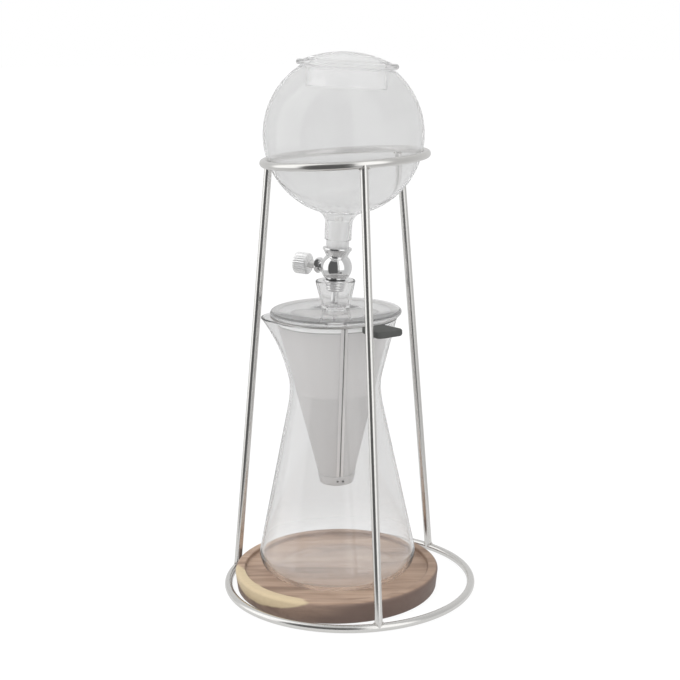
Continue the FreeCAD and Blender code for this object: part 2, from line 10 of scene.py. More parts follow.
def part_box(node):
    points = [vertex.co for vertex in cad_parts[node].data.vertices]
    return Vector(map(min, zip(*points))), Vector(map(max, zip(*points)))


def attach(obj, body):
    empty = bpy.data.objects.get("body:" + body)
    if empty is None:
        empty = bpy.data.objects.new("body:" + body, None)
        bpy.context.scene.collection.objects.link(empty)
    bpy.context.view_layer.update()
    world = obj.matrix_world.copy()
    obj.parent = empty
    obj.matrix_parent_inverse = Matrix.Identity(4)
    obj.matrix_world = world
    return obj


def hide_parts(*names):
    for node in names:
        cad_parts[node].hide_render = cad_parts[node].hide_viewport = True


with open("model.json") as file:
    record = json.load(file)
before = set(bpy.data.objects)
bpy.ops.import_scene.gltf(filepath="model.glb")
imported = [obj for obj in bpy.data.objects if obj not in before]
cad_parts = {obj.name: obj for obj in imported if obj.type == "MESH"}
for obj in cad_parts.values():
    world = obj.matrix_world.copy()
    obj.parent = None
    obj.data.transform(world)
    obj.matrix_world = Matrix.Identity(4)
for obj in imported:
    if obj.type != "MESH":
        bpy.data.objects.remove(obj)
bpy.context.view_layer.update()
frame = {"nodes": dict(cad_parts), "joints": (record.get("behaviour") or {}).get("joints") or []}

bl_info = {
    "name": "Cold Drip Tower",
    "version": (1, 0, 0),
    "blender": (4, 5, 0),
    "location": "View3D > Sidebar > Drip Tower",
    "description": "Dresses the frame of a cold drip coffee tower: wire stand, glass, filter and valve",
    "category": "Add Mesh",
}

MM = 0.001
PICTURE_SIDE = 680.0  # the picture is square, in pixels
SENSOR_WIDTH = 36.0  # millimetres, as the camera's lens is
TURN = 2 * math.pi
ON_AXIS = 1e-6  # a profile's point nearer than this lies on its axis
LARGE, USUAL, SMALL, TINY = 192, 128, 96, 64  # steps round a turned piece


# --- What the frame says
def node_middle(node):
    low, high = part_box(node)
    return (low + high) / 2


def node_size(node):
    low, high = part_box(node)
    return high - low


def span(node):
    """A piece's lower and upper height and half its width, in millimetres."""
    low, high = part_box(node)
    return low.z / MM, high.z / MM, (high.x - low.x) / 2 / MM


def joint_axis(name):
    joint = next(joint for joint in frame["joints"] if joint["name"] == name)
    return Vector(joint["axis"]).normalized()


WIRE = node_size("base_ring").z
GLOBE_UP = joint_axis("globe_lid_lift")
KNOB_OUT = joint_axis("knob_turn")
NECK_RADIUS = 10.2  # in millimetres, as all measures of pieces here are
NECK_REACH = 78.6  # from the globe's middle to the neck's lower end
VALVE_DROP = 99.6  # from the globe's middle to the valve's middle


def upright(node):
    """The place of a standing piece: its own middle on the plan, at table height."""
    middle = node_middle(node)
    return Matrix.Translation((middle.x, middle.y, 0))


def ring_radius(node):
    """The radius of a wire ring, to the middle of its wire."""
    return (max(node_size(node).x, node_size(node).y) - WIRE) / 2


def ring_tilt(node):
    """How far a wire ring's right side stands up, from the height that it fills."""
    return math.asin(max(0.0, node_size(node).z - WIRE) / (2 * ring_radius(node)))


def ring_place(node):
    tilt = Matrix.Rotation(-ring_tilt(node), 4, "Y")
    return Matrix.Translation((0, 0, node_middle(node).z)) @ tilt


def globe_place():
    """The place of a piece drawn about the globe's middle, leaning as the globe does."""
    middle = node_middle("globe")
    low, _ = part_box("globe")
    lean = GLOBE_UP.angle(Vector((0, 0, 1)))
    height = low.z + (NECK_REACH * math.cos(lean) + NECK_RADIUS * math.sin(lean)) * MM
    turn = Vector((0, 0, 1)).rotation_difference(GLOBE_UP).to_matrix().to_4x4()
    return Matrix.Translation((middle.x, middle.y, height)) @ turn


def knob_place():
    """The place of a piece drawn along Z from the valve's middle, laid along the knob's axis."""
    valve = globe_place() @ Vector((0, 0, -VALVE_DROP * MM))
    turn = Vector((0, 0, 1)).rotation_difference(KNOB_OUT).to_matrix().to_4x4()
    return Matrix.Translation(valve) @ turn


# --- Node trees
class Socket:
    """An output socket that can stand in a sum: each operator adds its Math node."""

    def __init__(self, nodes, output):
        self.nodes = nodes
        self.output = output

    def math(self, operation, *others):
        return self.nodes.math(operation, self, *others)

    def __add__(self, other):
        return self.math("ADD", other)

    def __sub__(self, other):
        return self.math("SUBTRACT", other)

    def __rsub__(self, other):
        return self.nodes.math("SUBTRACT", other, self)

    def __mul__(self, other):
        return self.math("MULTIPLY", other)

    def __truediv__(self, other):
        return self.math("DIVIDE", other)

    def __gt__(self, other):
        return self.math("GREATER_THAN", other)

    def __abs__(self):
        return self.math("ABSOLUTE")

    __radd__ = __add__
    __rmul__ = __mul__

    def step(self, low, high):
        """0 below low, 1 above high, and smooth between them."""
        return self.nodes.add("ShaderNodeMapRange", {"interpolation_type": "SMOOTHSTEP"},
                              {"Value": self, "From Min": low, "From Max": high})

    def near(self, inner, outer):
        """1 within inner of nought, 0 past outer, and smooth between them."""
        return 1 - abs(self).step(inner, outer)


def from_axis(x, y):
    """A point's distance from the Z axis."""
    return (x * x + y * y).math("SQRT")


class Nodes:
    """A node tree, with one way to add any node to it and short names for the usual ones."""

    def __init__(self, tree):
        self.tree = tree
        tree.nodes.clear()

    def add(self, kind, settings=None, inputs=None, output=0):
        """A new node. Its settings are set first, and then the values or links of its sockets."""
        node = self.tree.nodes.new(kind)
        for name, value in (settings or {}).items():
            if name == "stops":
                self.set_stops(node.color_ramp, value)
            else:
                setattr(node, name, value)
        for name, value in (inputs or {}).items():
            if isinstance(value, Socket):
                self.tree.links.new(value.output, node.inputs[name])
            else:
                node.inputs[name].default_value = value
        return Socket(self, node.outputs[output]) if node.outputs else None

    @staticmethod
    def set_stops(ramp, stops):
        while len(ramp.elements) < len(stops):
            ramp.elements.new(1.0)
        for element, (position, colour) in zip(ramp.elements, stops):
            element.position = position
            element.color = (*colour, 1)

    def math(self, operation, *values):
        return self.add("ShaderNodeMath", {"operation": operation}, dict(enumerate(values)))

    def blend(self, factor, first, second):
        """The colour between two colours."""
        colours = [colour if isinstance(colour, Socket) else (*colour, 1) for colour in (first, second)]
        return self.add("ShaderNodeMix", {"data_type": "RGBA"}, {0: factor, 6: colours[0], 7: colours[1]}, 2)

    def mix(self, factor, first, second):
        """The shader between two shaders."""
        return self.add("ShaderNodeMixShader", {}, {0: factor, 1: first, 2: second})

    def noise(self, vector, scale, detail=3.0, roughness=0.5, distortion=0.0):
        return self.add("ShaderNodeTexNoise", {}, {"Vector": vector, "Scale": scale, "Detail": detail,
                                                   "Roughness": roughness, "Distortion": distortion})

    def own_coordinates(self, turned=(0, 0, 0), scale=(1, 1, 1), centre=(0, 0, 0)):
        """The piece's own coordinates, measured from a centre, turned and stretched."""
        place = self.add("ShaderNodeTexCoord", output="Object")
        moved = self.add("ShaderNodeVectorMath", {"operation": "SUBTRACT"}, {0: place, 1: centre})
        return self.add("ShaderNodeMapping", {}, {"Vector": moved, "Rotation": turned, "Scale": scale})

    def vector(self, **parts):
        """A vector from its X, Y and Z."""
        return self.add("ShaderNodeCombineXYZ", {}, parts)

    def split(self, vector):
        """The three parts of a vector."""
        parts = self.add("ShaderNodeSeparateXYZ", {}, {0: vector}).output.node
        return [Socket(self, output) for output in parts.outputs]

    def rays(self, *kinds):
        """1 on each of these kinds of ray, such as Camera, and 0 on the others."""
        path = self.add("ShaderNodeLightPath").output.node
        return [Socket(self, path.outputs[f"Is {kind} Ray"]) for kind in kinds]

    def moved(self, geometry, **change):
        """Geometry after a Translation, a Rotation or both."""
        return self.add("GeometryNodeTransform", {}, {"Geometry": geometry, **change})

    def tube(self, path, radius, sides=32):
        """A round rod along a path, closed at its ends."""
        section = self.add("GeometryNodeCurvePrimitiveCircle", {"mode": "RADIUS"},
                           {"Resolution": sides, "Radius": radius})
        return self.add("GeometryNodeCurveToMesh", {}, {
            "Curve": path, "Profile Curve": section, "Fill Caps": True})

    def beads(self, points, radius, scale=(1, 1, 1)):
        """A small ball on every point."""
        ball = self.add("GeometryNodeMeshIcoSphere", {}, {"Radius": radius, "Subdivisions": 3})
        return self.add("GeometryNodeInstanceOnPoints", {}, {
            "Points": points, "Instance": ball, "Scale": scale})


class Finish(Nodes):
    """A material made of one Principled shader and what feeds it."""

    def __init__(self, name, **constants):
        self.material = bpy.data.materials.new(name)
        self.material.use_nodes = True
        super().__init__(self.material.node_tree)
        self.shader = self.add("ShaderNodeBsdfPrincipled").output.node
        self.feed(**constants)
        self.add("ShaderNodeOutputMaterial", {}, {"Surface": Socket(self, self.shader.outputs[0])})

    def feed(self, **values):
        """Sets or links the shader's sockets, named in lower case with _ for a space."""
        sockets = {socket.name.lower().replace(" ", "_"): socket for socket in self.shader.inputs}
        for name, value in values.items():
            socket = sockets[name]
            if isinstance(value, Socket):
                self.tree.links.new(value.output, socket)
            elif socket.type == "RGBA":
                socket.default_value = (*value, 1)
            else:
                socket.default_value = value

    def bump(self, height, distance):
        self.feed(normal=self.add("ShaderNodeBump", {}, {"Height": height, "Distance": distance}))

    def let_light_through(self, tint):
        """Lets lamps and soft light reach what stands behind the glass."""
        surface = Socket(self, self.shader.outputs[0])
        clear = self.add("ShaderNodeBsdfTransparent", {}, {"Color": (*tint, 1)})
        for ray in self.rays("Diffuse", "Shadow"):
            surface = self.mix(ray, surface, clear)
        output = next(node for node in self.tree.nodes if node.type == "OUTPUT_MATERIAL")
        self.tree.links.new(surface.output, output.inputs["Surface"])


def node_group(name, numbers=(), counts=(), vectors=(), geometry_in=False):
    """A new geometry tree with a named input for each size, and those inputs as sockets."""
    tree = bpy.data.node_groups.new(name, "GeometryNodeTree")
    tree.interface.new_socket("Geometry", in_out="OUTPUT", socket_type="NodeSocketGeometry")
    kinds = {"Geometry": ["Geometry"] * geometry_in, "Float": numbers, "Int": counts, "Vector": vectors}
    for kind, labels in kinds.items():
        for label in labels:
            tree.interface.new_socket(label, in_out="INPUT", socket_type="NodeSocket" + kind)
    nodes = Nodes(tree)
    entry = nodes.add("NodeGroupInput").output.node
    return nodes, {socket.name: Socket(nodes, socket) for socket in entry.outputs if socket.name}


def close_group(nodes, geometry, material):
    """Ends a geometry tree: smooth faces, no instances, one material."""
    smooth = nodes.add("GeometryNodeSetShadeSmooth", {}, {"Geometry": geometry})
    real = nodes.add("GeometryNodeRealizeInstances", {}, {"Geometry": smooth})
    painted = nodes.add("GeometryNodeSetMaterial", {}, {"Geometry": real, "Material": material})
    nodes.add("NodeGroupOutput", {}, {0: painted})
    return nodes.tree


# --- Meshes
def link_piece(name, mesh):
    piece = bpy.data.objects.new(name, mesh)
    bpy.context.scene.collection.objects.link(piece)
    return piece


def keep_result(piece):
    """Makes the result of a piece's modifiers its own mesh."""
    graph = bpy.context.evaluated_depsgraph_get()
    mesh = bpy.data.meshes.new_from_object(piece.evaluated_get(graph), depsgraph=graph)
    piece.modifiers.clear()
    piece.data = mesh


def grow(name, tree, sizes, base=None):
    """Runs a geometry tree once and keeps its result as a plain mesh."""
    piece = link_piece(name, base or bpy.data.meshes.new(name))
    modifier = piece.modifiers.new("Grow", "NODES")
    modifier.node_group = tree
    for item in tree.interface.items_tree:
        if item.in_out == "INPUT" and item.name in sizes:
            modifier[item.identifier] = sizes[item.name]
    keep_result(piece)
    piece.data.name = name
    return piece


def arc(centre, radius, start, end, steps):
    """Points of a circle's arc from one angle to another, in degrees."""
    angles = [math.radians(start + (end - start) * step / steps) for step in range(steps + 1)]
    return [(centre[0] + radius * math.cos(angle), centre[1] + radius * math.sin(angle)) for angle in angles]


def rounded(corners, closed=False, steps=6):
    """Points through (radius, height, corner radius) corners. A corner radius turns its corner into an arc."""
    spots = [Vector(corner[:2]) for corner in corners]
    points = []
    for i, (spot, corner) in enumerate(zip(spots, corners)):
        is_end = not closed and i in (0, len(corners) - 1)
        if is_end or not corner[2]:
            points.append(tuple(spot))
            continue
        before = (spots[i - 1] - spot).normalized()
        after = (spots[(i + 1) % len(spots)] - spot).normalized()
        half = before.angle(after) / 2
        cut = corner[2] / math.tan(half)
        centre = spot + (before + after).normalized() * (corner[2] / math.sin(half))
        start = spot + before * cut - centre
        sweep = start.angle_signed(spot + after * cut - centre)
        for step in range(steps + 1):
            turned = start.copy()
            turned.rotate(Matrix.Rotation(-sweep * step / steps, 2))
            points.append(tuple(centre + turned))
    return points


def band(inner, outer, low, high, inner_edge, outer_edge, steps):
    """The closed profile of a flat ring, with the roundings of its two edges."""
    return rounded([(inner, low, inner_edge), (outer, low, outer_edge), (outer, high, outer_edge),
                    (inner, high, inner_edge)], closed=True, steps=steps)


def turned_mesh(profile, steps=USUAL, bulge=None):
    """A bmesh swept about Z from (radius, height) points. The profile closes on itself or on the axis."""
    made = bmesh.new()
    rows = []
    for radius, height in profile:
        if radius < ON_AXIS:
            rows.append([made.verts.new((0, 0, height))])
            continue
        row = []
        for step in range(steps):
            angle = TURN * step / steps
            reach = radius + (bulge(angle, height) if bulge else 0)
            row.append(made.verts.new((reach * math.cos(angle), reach * math.sin(angle), height)))
        rows.append(row)
    on_axis = len(rows[0]) == 1 and len(rows[-1]) == 1
    pairs = list(zip(rows, rows[1:])) + ([] if on_axis else [(rows[-1], rows[0])])
    for lower, upper in pairs:
        for step in range(steps):
            after = (step + 1) % steps
            loop = [lower[step % len(lower)], lower[after % len(lower)],
                    upper[after % len(upper)], upper[step % len(upper)]]
            corners = list(dict.fromkeys(loop))
            if len(corners) > 2:
                made.faces.new(corners)
    bmesh.ops.recalc_face_normals(made, faces=made.faces)
    return made


def plain_mesh(name, made):
    """Turns a bmesh into a mesh."""
    mesh = bpy.data.meshes.new(name)
    made.to_mesh(mesh)
    made.free()
    return mesh


def put_in_place(mesh, place, sharp):
    """Scales a mesh from millimetres, puts it in place and marks edges sharper than an angle in degrees."""
    mesh.transform(place @ Matrix.Scale(MM, 4))
    mesh.set_sharp_from_angle(angle=math.radians(sharp))


def finish_mesh(name, made, material, place, sharp=35.0):
    """Turns a bmesh into a smooth piece in its place."""
    mesh = plain_mesh(name, made)
    mesh.shade_smooth()
    put_in_place(mesh, place, sharp)
    mesh.materials.append(material)
    return link_piece(name, mesh)


def turned_piece(name, profile, material, place, steps=USUAL, bulge=None, sharp=35.0):
    return finish_mesh(name, turned_mesh(profile, steps, bulge), material, place, sharp)


def settle(piece, body, slot, *nodes):
    """Puts a piece on its body, in the place of the nodes it stands for. Its slot is not used."""
    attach(piece, body)
    if nodes:
        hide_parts(*nodes)


def dress(node, material):
    """Gives a node of the frame its material."""
    piece = frame["nodes"][node]
    piece.data.materials.clear()
    piece.data.materials.append(material)


# --- Finishes
MESH_PAINTED_SHADE = 0.11  # how much darker the painted shade makes the lower mesh
PAINTED_SHADE_EDGE = 1.2 * MM  # how softly that begins
BORDER_EDGE = 0.2 * MM  # how softly the mesh's pressed border begins
SHADOW_LINE_HALF_WIDTH = 0.5 * MM  # half the width of the painted shadow line under it
# colour of that painted shadow line
PAINTED_SHADOW_COLOUR = (0.10, 0.10, 0.10)
# colour of the painted shadow along the seam's lap
SEAM_SHADOW_COLOUR = (0.10, 0.095, 0.09)
GRAIN_TURN = math.radians(-14)  # of the wood's grain, about Z
SHADED_WOOD = (20 * MM, 85 * MM)  # the wood darkens towards +X from the first to the second
RECESS_SHADE_WIDTHS = (0.3 * MM, 1.4 * MM)  # the painted shade in a thin line round the recess, and its soft edge
# The coaster's dark side is partly end grain and partly painted shade, darker all round than the top.
SIDE_START = (76 * MM, 78 * MM)  # the dark side begins here at the foot,
SIDE_FLARE = 0.12  # and this much further out for each metre up
SAPWOOD_WAY = (-0.79, -0.61, 1.5)  # the sapwood lies this way from the foot's middle,
SAPWOOD_START = (89.6 * MM, 92.6 * MM)  # past this distance,
SAPWOOD_SHADE = (55 * MM, 88 * MM)  # and the dark side is paler before it


def shaded(colour, share):
    return tuple(share * part for part in colour)


def drifting_finish(name, colours, roughness, scale=1.0, detail=2.0, stretch=(1, 1, 1), relief=0.0,
                    through=None, **constants):
    """A finish whose colour and roughness drift with a noise. roughness is the lowest one and its range."""
    finish = Finish(name, **constants)
    drift = finish.noise(finish.own_coordinates(scale=stretch), scale, detail)
    finish.feed(roughness=roughness[0] + roughness[1] * drift)
    if colours:
        finish.feed(base_color=finish.blend(drift, *colours))
    if relief:
        finish.bump(drift, relief)
    if through:
        finish.let_light_through(through)
    return finish.material


def wire_finish(look):
    """Drawn stainless wire, polished: bright, with faint lengthwise haze."""
    return drifting_finish("Polished Wire", (look.wire_colour, shaded(look.wire_colour, 0.93)), (0.18, 0.07),
                           detail=4.0, stretch=(60, 60, 400), relief=0.02 * MM, metallic=1.0)


def weld_finish(look):
    return drifting_finish("Weld Metal", (look.wire_colour, (0.45, 0.42, 0.39)), (0.25, 0.2), 900.0,
                           relief=0.1 * MM, metallic=1.0)


def chrome_finish(name="Chrome Plate", roughness=0.03, metallic=1.0, shade=0.84):
    return drifting_finish(name, None, (roughness, 0.05), 260.0, 3.0, base_color=(shade, shade, shade),
                           metallic=metallic)


def turned_steel_finish():
    return drifting_finish("Turned Steel", ((0.86, 0.86, 0.85), (0.76, 0.75, 0.74)), (0.30, 0.14),
                           stretch=(900, 900, 900), metallic=0.6)


def satin_steel_finish():
    return drifting_finish("Satin Steel Sheet", ((0.70, 0.69, 0.68), (0.60, 0.59, 0.58)), (0.28, 0.16),
                           detail=4.0, stretch=(500, 500, 60), relief=0.02 * MM, metallic=1.0)


def brass_finish():
    return drifting_finish("Turned Brass", ((0.72, 0.55, 0.26), (0.62, 0.46, 0.20)), (0.2, 0.15),
                           stretch=(800, 800, 800), metallic=1.0)


def rubber_finish():
    return drifting_finish("Black Rubber", ((0.03, 0.03, 0.03), (0.05, 0.05, 0.05)), (0.6, 0.1), 1200.0)


def grip_finish():
    return drifting_finish("Dark Silicone", ((0.080, 0.082, 0.079), (0.094, 0.096, 0.093)), (0.78, 0.12),
                           1500.0, 3.0, relief=0.03 * MM, specular_ior_level=0.2)


def stopper_finish():
    return drifting_finish("Clear Silicone", None, (0.30, 0.15), 300.0, through=(0.9, 0.9, 0.9),
                           base_color=(0.84, 0.84, 0.84), ior=1.41, transmission_weight=0.6)


def glass_finish(name, tint, wave, clearness, bend=1.33):
    """Glass with the slow ripple of a blown wall and a faint veil, the less the clearer it is."""
    finish = Finish(name, base_color=tint, roughness=0.0, ior=bend, transmission_weight=clearness)
    finish.bump(finish.noise(finish.own_coordinates(scale=(1, 1, 0.4)), 22.0, 1.0), wave)
    finish.let_light_through((0.98, 0.98, 0.98))
    return finish.material


def mesh_finish(look, band_foot, painted_shade_top):
    """Fine woven steel, mapped on the unrolled sheet: a pressed border above band_foot, lighter by a painted
    reflection and edged below by a painted shadow line, and painted shade on the mesh below a given height.
    """
    finish = Finish("Woven Steel Mesh")
    across, along, _ = finish.split(finish.add("ShaderNodeUVMap", {"uv_map": "Sheet"}))
    pitch = TURN / look.weave_pitch
    weave = 0.5 + 0.5 * ((across * pitch).math("SINE") * (along * pitch).math("SINE"))
    cloud = finish.noise(finish.own_coordinates(), 40.0, 3.0)
    woven = finish.blend(0.75 * weave + 0.25 * cloud, shaded(look.mesh_colour, 0.82), look.mesh_colour)
    _, _, height = finish.split(finish.own_coordinates())
    # painted shade: the mesh is darker below a given height, fading in softly
    lower_painted_shade = MESH_PAINTED_SHADE * (1 - height.step(painted_shade_top - PAINTED_SHADE_EDGE, painted_shade_top + PAINTED_SHADE_EDGE))
    above = height - band_foot
    band = above.step(0.0, BORDER_EDGE)
    # the pressed border: solid steel, its lighter colour a painted reflection of its polish
    bordered = finish.blend(band, finish.blend(lower_painted_shade, woven, (0.0, 0.0, 0.0)), look.border_sheen_colour)
    # painted shadow: a dark line just under the pressed border
    shadow_lined = finish.blend(0.6 * above.near(BORDER_EDGE, SHADOW_LINE_HALF_WIDTH), bordered, PAINTED_SHADOW_COLOUR)
    finish.feed(base_color=shadow_lined, metallic=0.2, roughness=0.42 + 0.12 * cloud,
                alpha=look.mesh_cover + (1 - look.mesh_cover) * band)
    finish.bump(weave, 0.06 * MM)
    return finish.material


def seam_finish(look):
    """The lapped edge of the sheet, with a painted shadow as a dark line along the lap."""
    finish = Finish("Welded Seam", metallic=0.6)
    across, _, _ = finish.split(finish.add("ShaderNodeUVMap", {"uv_map": "Sheet"}))
    speck = finish.noise(finish.own_coordinates(), 700.0, 3.0)
    # painted shadow: a dark line along the lap's edge
    line = (across + 0.08 * speck - 0.58).near(0.05, 0.12)
    finish.feed(base_color=finish.blend(line, look.mesh_colour, SEAM_SHADOW_COLOUR), roughness=0.35 + 0.2 * speck)
    return finish.material


def wood_finish(look, centre):
    """Oiled acacia: long brown figure, fine pores, and a pale edge of sapwood, with painted shade on the side,
    towards +X and round the recess.
    """
    finish = Finish("Oiled Acacia")

    def grain(along, across, *character):
        place = finish.own_coordinates((0, 0, GRAIN_TURN), (along, across, across), centre)
        return finish.noise(place, 1.0, *character)

    figure = grain(9, 80, 5.0, 0.55, 0.8)
    streak = grain(22, 420, 4.0, 0.6)
    pore = grain(160, 2600, 2.0)
    stops = [(0.34, look.wood_dark), (0.53, look.wood_colour), (0.72, look.wood_light)]
    heart = finish.add("ShaderNodeValToRGB", {"stops": stops}, {"Fac": figure})
    x, y, z = finish.split(finish.own_coordinates(centre=centre))
    reach = from_axis(x, y)
    side = (reach - SIDE_FLARE * z).step(*SIDE_START)
    edge = SAPWOOD_WAY[0] * x + SAPWOOD_WAY[1] * y + SAPWOOD_WAY[2] * z + 6 * MM * figure
    brown = finish.blend(0.55 * streak + 0.3 * x.step(*SHADED_WOOD), heart, look.wood_dark)
    # painted shade with end grain: the side is darker than the top, less so towards the sapwood
    brown = finish.blend(side * (0.93 - 0.4 * edge.step(*SAPWOOD_SHADE)), brown, look.wood_end)
    # painted shade: a thin dark line round the recess's edge
    brown = finish.blend(0.45 * (reach - look.recess).near(*RECESS_SHADE_WIDTHS), brown, look.wood_dark)
    pale = finish.blend(streak, look.sapwood, shaded(look.sapwood, 0.86))
    finish.feed(base_color=finish.blend(edge.step(*SAPWOOD_START), brown, pale), roughness=0.42 + 0.2 * streak,
                coat_weight=0.08, coat_roughness=0.35)
    finish.bump(0.6 * streak + 0.4 * pore, 0.08 * MM)
    return finish.material


# --- What a user can change
def length(name, description, default):
    return FloatProperty(name=name, description=description, default=default, unit="LENGTH", precision=5)


def direction(name, description, default):
    return FloatProperty(name=name, description=description, default=math.radians(default), subtype="ANGLE")


def amount(name, description, default, least=0.0, most=1000.0):
    return FloatProperty(name=name, description=description, default=default, min=least, max=most)


def count(name, description, default, least):
    return IntProperty(name=name, description=description, default=default, min=least)


def colour(name, description, default):
    return FloatVectorProperty(name=name, description=description, default=default, subtype="COLOR",
                               min=0.0, max=1.0)


class StandSizes(bpy.types.PropertyGroup):
    wire: length("Wire", "Diameter of the stand's round wire", WIRE)
    bead: length("Weld bead", "Radius of one bead of the welds", 0.9 * MM)
    bead_count: count("Beads", "Beads round the end of each leg", 14, 6)
    butt_gap: length("Butt joint", "Width of the groove where a ring's wire closes", 0.35 * MM)
    wire_colour: colour("Wire colour", "Colour of the polished wire", (0.80, 0.79, 0.77))


class CoasterLook(bpy.types.PropertyGroup):
    radius: length("Radius", "Radius of the coaster's top, before its edge is rounded", 80.2 * MM)
    foot: length("Foot", "Radius of the coaster's foot, before its edge is rounded", 78.2 * MM)
    edge: length("Edge radius", "Rounding of the coaster's rim", 2.6 * MM)
    recess: length("Recess", "Radius of the shallow recess", 72.1 * MM)
    depth: length("Recess depth", "Depth of the recess", 3.5 * MM)
    wood_colour: colour("Wood", "Main colour of the heartwood", (0.45, 0.315, 0.23))
    # also the colour of the painted shade towards +X and round the recess
    wood_dark: colour("Dark figure", "Colour of the dark streaks", (0.225, 0.145, 0.10))
    wood_light: colour("Light figure", "Colour of the light streaks", (0.55, 0.40, 0.295))
    # the dark side's colour: end grain with painted shade
    wood_end: colour("End grain", "Colour of the dark side, which shows the grain's ends", (0.15, 0.10, 0.082))
    sapwood: colour("Sapwood", "Colour of the pale edge", (0.61, 0.49, 0.315))


class GlassLook(bpy.types.PropertyGroup):
    wall: length("Wall", "Thickness of the blown walls", 2.0 * MM)
    ripple: length("Ripple", "Depth of the slow ripple of a blown wall", 0.02 * MM)
    globe_tint: colour("Globe", "Tint of the globe", (0.92, 0.92, 0.92))
    carafe_tint: colour("Carafe", "Tint of the carafe", (0.99, 0.99, 0.99))
    lid_tint: colour("Lid", "Tint of both lids", (0.97, 0.97, 0.97))
    spout_pull: length("Spout", "How far the spout is pulled out of the rim", 8.4 * MM)


class FilterLook(bpy.types.PropertyGroup):
    weave_pitch: length("Weave pitch", "Distance between the wires of the mesh", 0.7 * MM)
    mesh_colour: colour("Mesh", "Colour of the steel mesh", (0.75, 0.735, 0.73))
    border: length("Border", "Height of the pressed border at the top of the cone", 4.8 * MM)
    # the border's colour, lightened by a painted reflection of its polish
    border_sheen_colour: colour("Border colour", "Colour of the pressed border", (0.93, 0.93, 0.93))
    # the painted shade on the mesh reaches up this share of the cone's height
    painted_shade_top: amount("Tide", "Share of the cone's height up to which use has dulled the mesh", 0.56, most=1.0)
    mesh_cover: amount("Cover", "Share of the mesh that is wire", 0.8, 0.1, 1.0)
    dot_count: count("Weld dots", "Spot welds beside the seam on the cap", 2, 0)
    dot: length("Weld dot", "Radius of one spot weld", 0.9 * MM)


class ValveSizes(bpy.types.PropertyGroup):
    knurl_count: count("Knurl", "Ridges round the knob", 28, 12)
    knurl_depth: length("Knurl depth", "Depth of the knob's ridges", 0.3 * MM)
    thread_turns: amount("Thread turns", "Turns of the ribbed stub", 3.0, 1.0)
    thread_rise: length("Thread height", "How far the rib stands out of the stub", 0.8 * MM)


class StageLook(bpy.types.PropertyGroup):
    distance: length("Distance", "Camera's distance in front of the stand", 1.0470)
    height: length("Height", "Camera's height above the table", 0.4333)
    pitch: direction("Pitch", "How far the camera looks down", 12.68)
    yaw: direction("Yaw", "How far the camera looks to the right", -0.295)
    roll: direction("Roll", "How far the camera is turned about its own line of sight", 0.686)
    focal: amount("Focal length", "In pixels of the square picture", 1400.5, 1.0, 10000.0)
    ambient: amount("Ambient", "Plain light from all round", 1.0)
    key_power: amount("Key light", "Power of the overhead softbox", 7.0)


# --- Stand
RINGS = {"base_ring": 118, "top_ring": 50}  # where each ring's wire closes, in degrees about Z
LEGS = ("leg_front", "leg_right", "leg_left")
BEAD_HEIGHT = 0.55  # of the welds from the middle of the ring's wire, in diameters of the wire
BEAD_RING = 0.53  # radius of a weld round its leg, in the same measure


def ring_tree(material):
    """A ring of wire that starts and ends at a narrow groove, its right side tilted up."""
    nodes, size = node_group("Wire Ring", ("Radius", "Height", "Tilt", "Wire", "Start", "Gap"))
    sweep = TURN - size["Gap"] / size["Radius"]
    path = nodes.add("GeometryNodeCurveArc", {"mode": "RADIUS"}, {
        "Resolution": 192, "Radius": size["Radius"], "Start Angle": size["Start"], "Sweep Angle": sweep})
    lifted = nodes.moved(path, Translation=nodes.vector(Z=size["Height"]),
                         Rotation=nodes.vector(Y=-1 * size["Tilt"]))
    return close_group(nodes, nodes.tube(lifted, size["Wire"] / 2), material)


def leg_tree(material):
    """A straight rod between two points."""
    nodes, size = node_group("Wire Leg", ("Wire",), vectors=("Foot", "Head"))
    path = nodes.add("GeometryNodeCurvePrimitiveLine", {"mode": "POINTS"},
                     {"Start": size["Foot"], "End": size["Head"]})
    return close_group(nodes, nodes.tube(path, size["Wire"] / 2), material)


def weld_tree(material):
    """Beads of weld where a leg stands on its ring, laid on the ring's own surface."""
    nodes, size = node_group("Weld Beads", ("Wire", "Bead"), ("Beads",), ("End", "Along"), geometry_in=True)
    turn = nodes.add("FunctionNodeAlignRotationToVector", {"axis": "Z"}, {"Vector": size["Along"]})
    lift = nodes.add("ShaderNodeVectorMath", {"operation": "SCALE"},
                     {0: size["Along"], "Scale": size["Wire"] * BEAD_HEIGHT})
    spot = nodes.add("ShaderNodeVectorMath", {"operation": "ADD"}, {0: size["End"], 1: lift})
    circle = nodes.add("GeometryNodeMeshCircle", {},
                       {"Vertices": size["Beads"], "Radius": size["Wire"] * BEAD_RING})
    around = nodes.moved(circle, Translation=spot, Rotation=turn)
    nearest = nodes.add("GeometryNodeProximity", {"target_element": "FACES"}, {0: size["Geometry"]})
    laid = nodes.add("GeometryNodeSetPosition", {}, {"Geometry": around, "Position": nearest})
    return close_group(nodes, nodes.beads(laid, size["Bead"]), material)


def leg_ends(node):
    """The foot and the head of a leg, at the middles of the rings' wires."""
    middle = node_middle(node)
    outward = Vector((middle.x, middle.y, 0)).normalized()
    return [ring_place(ring) @ (outward * ring_radius(ring)) for ring in RINGS]


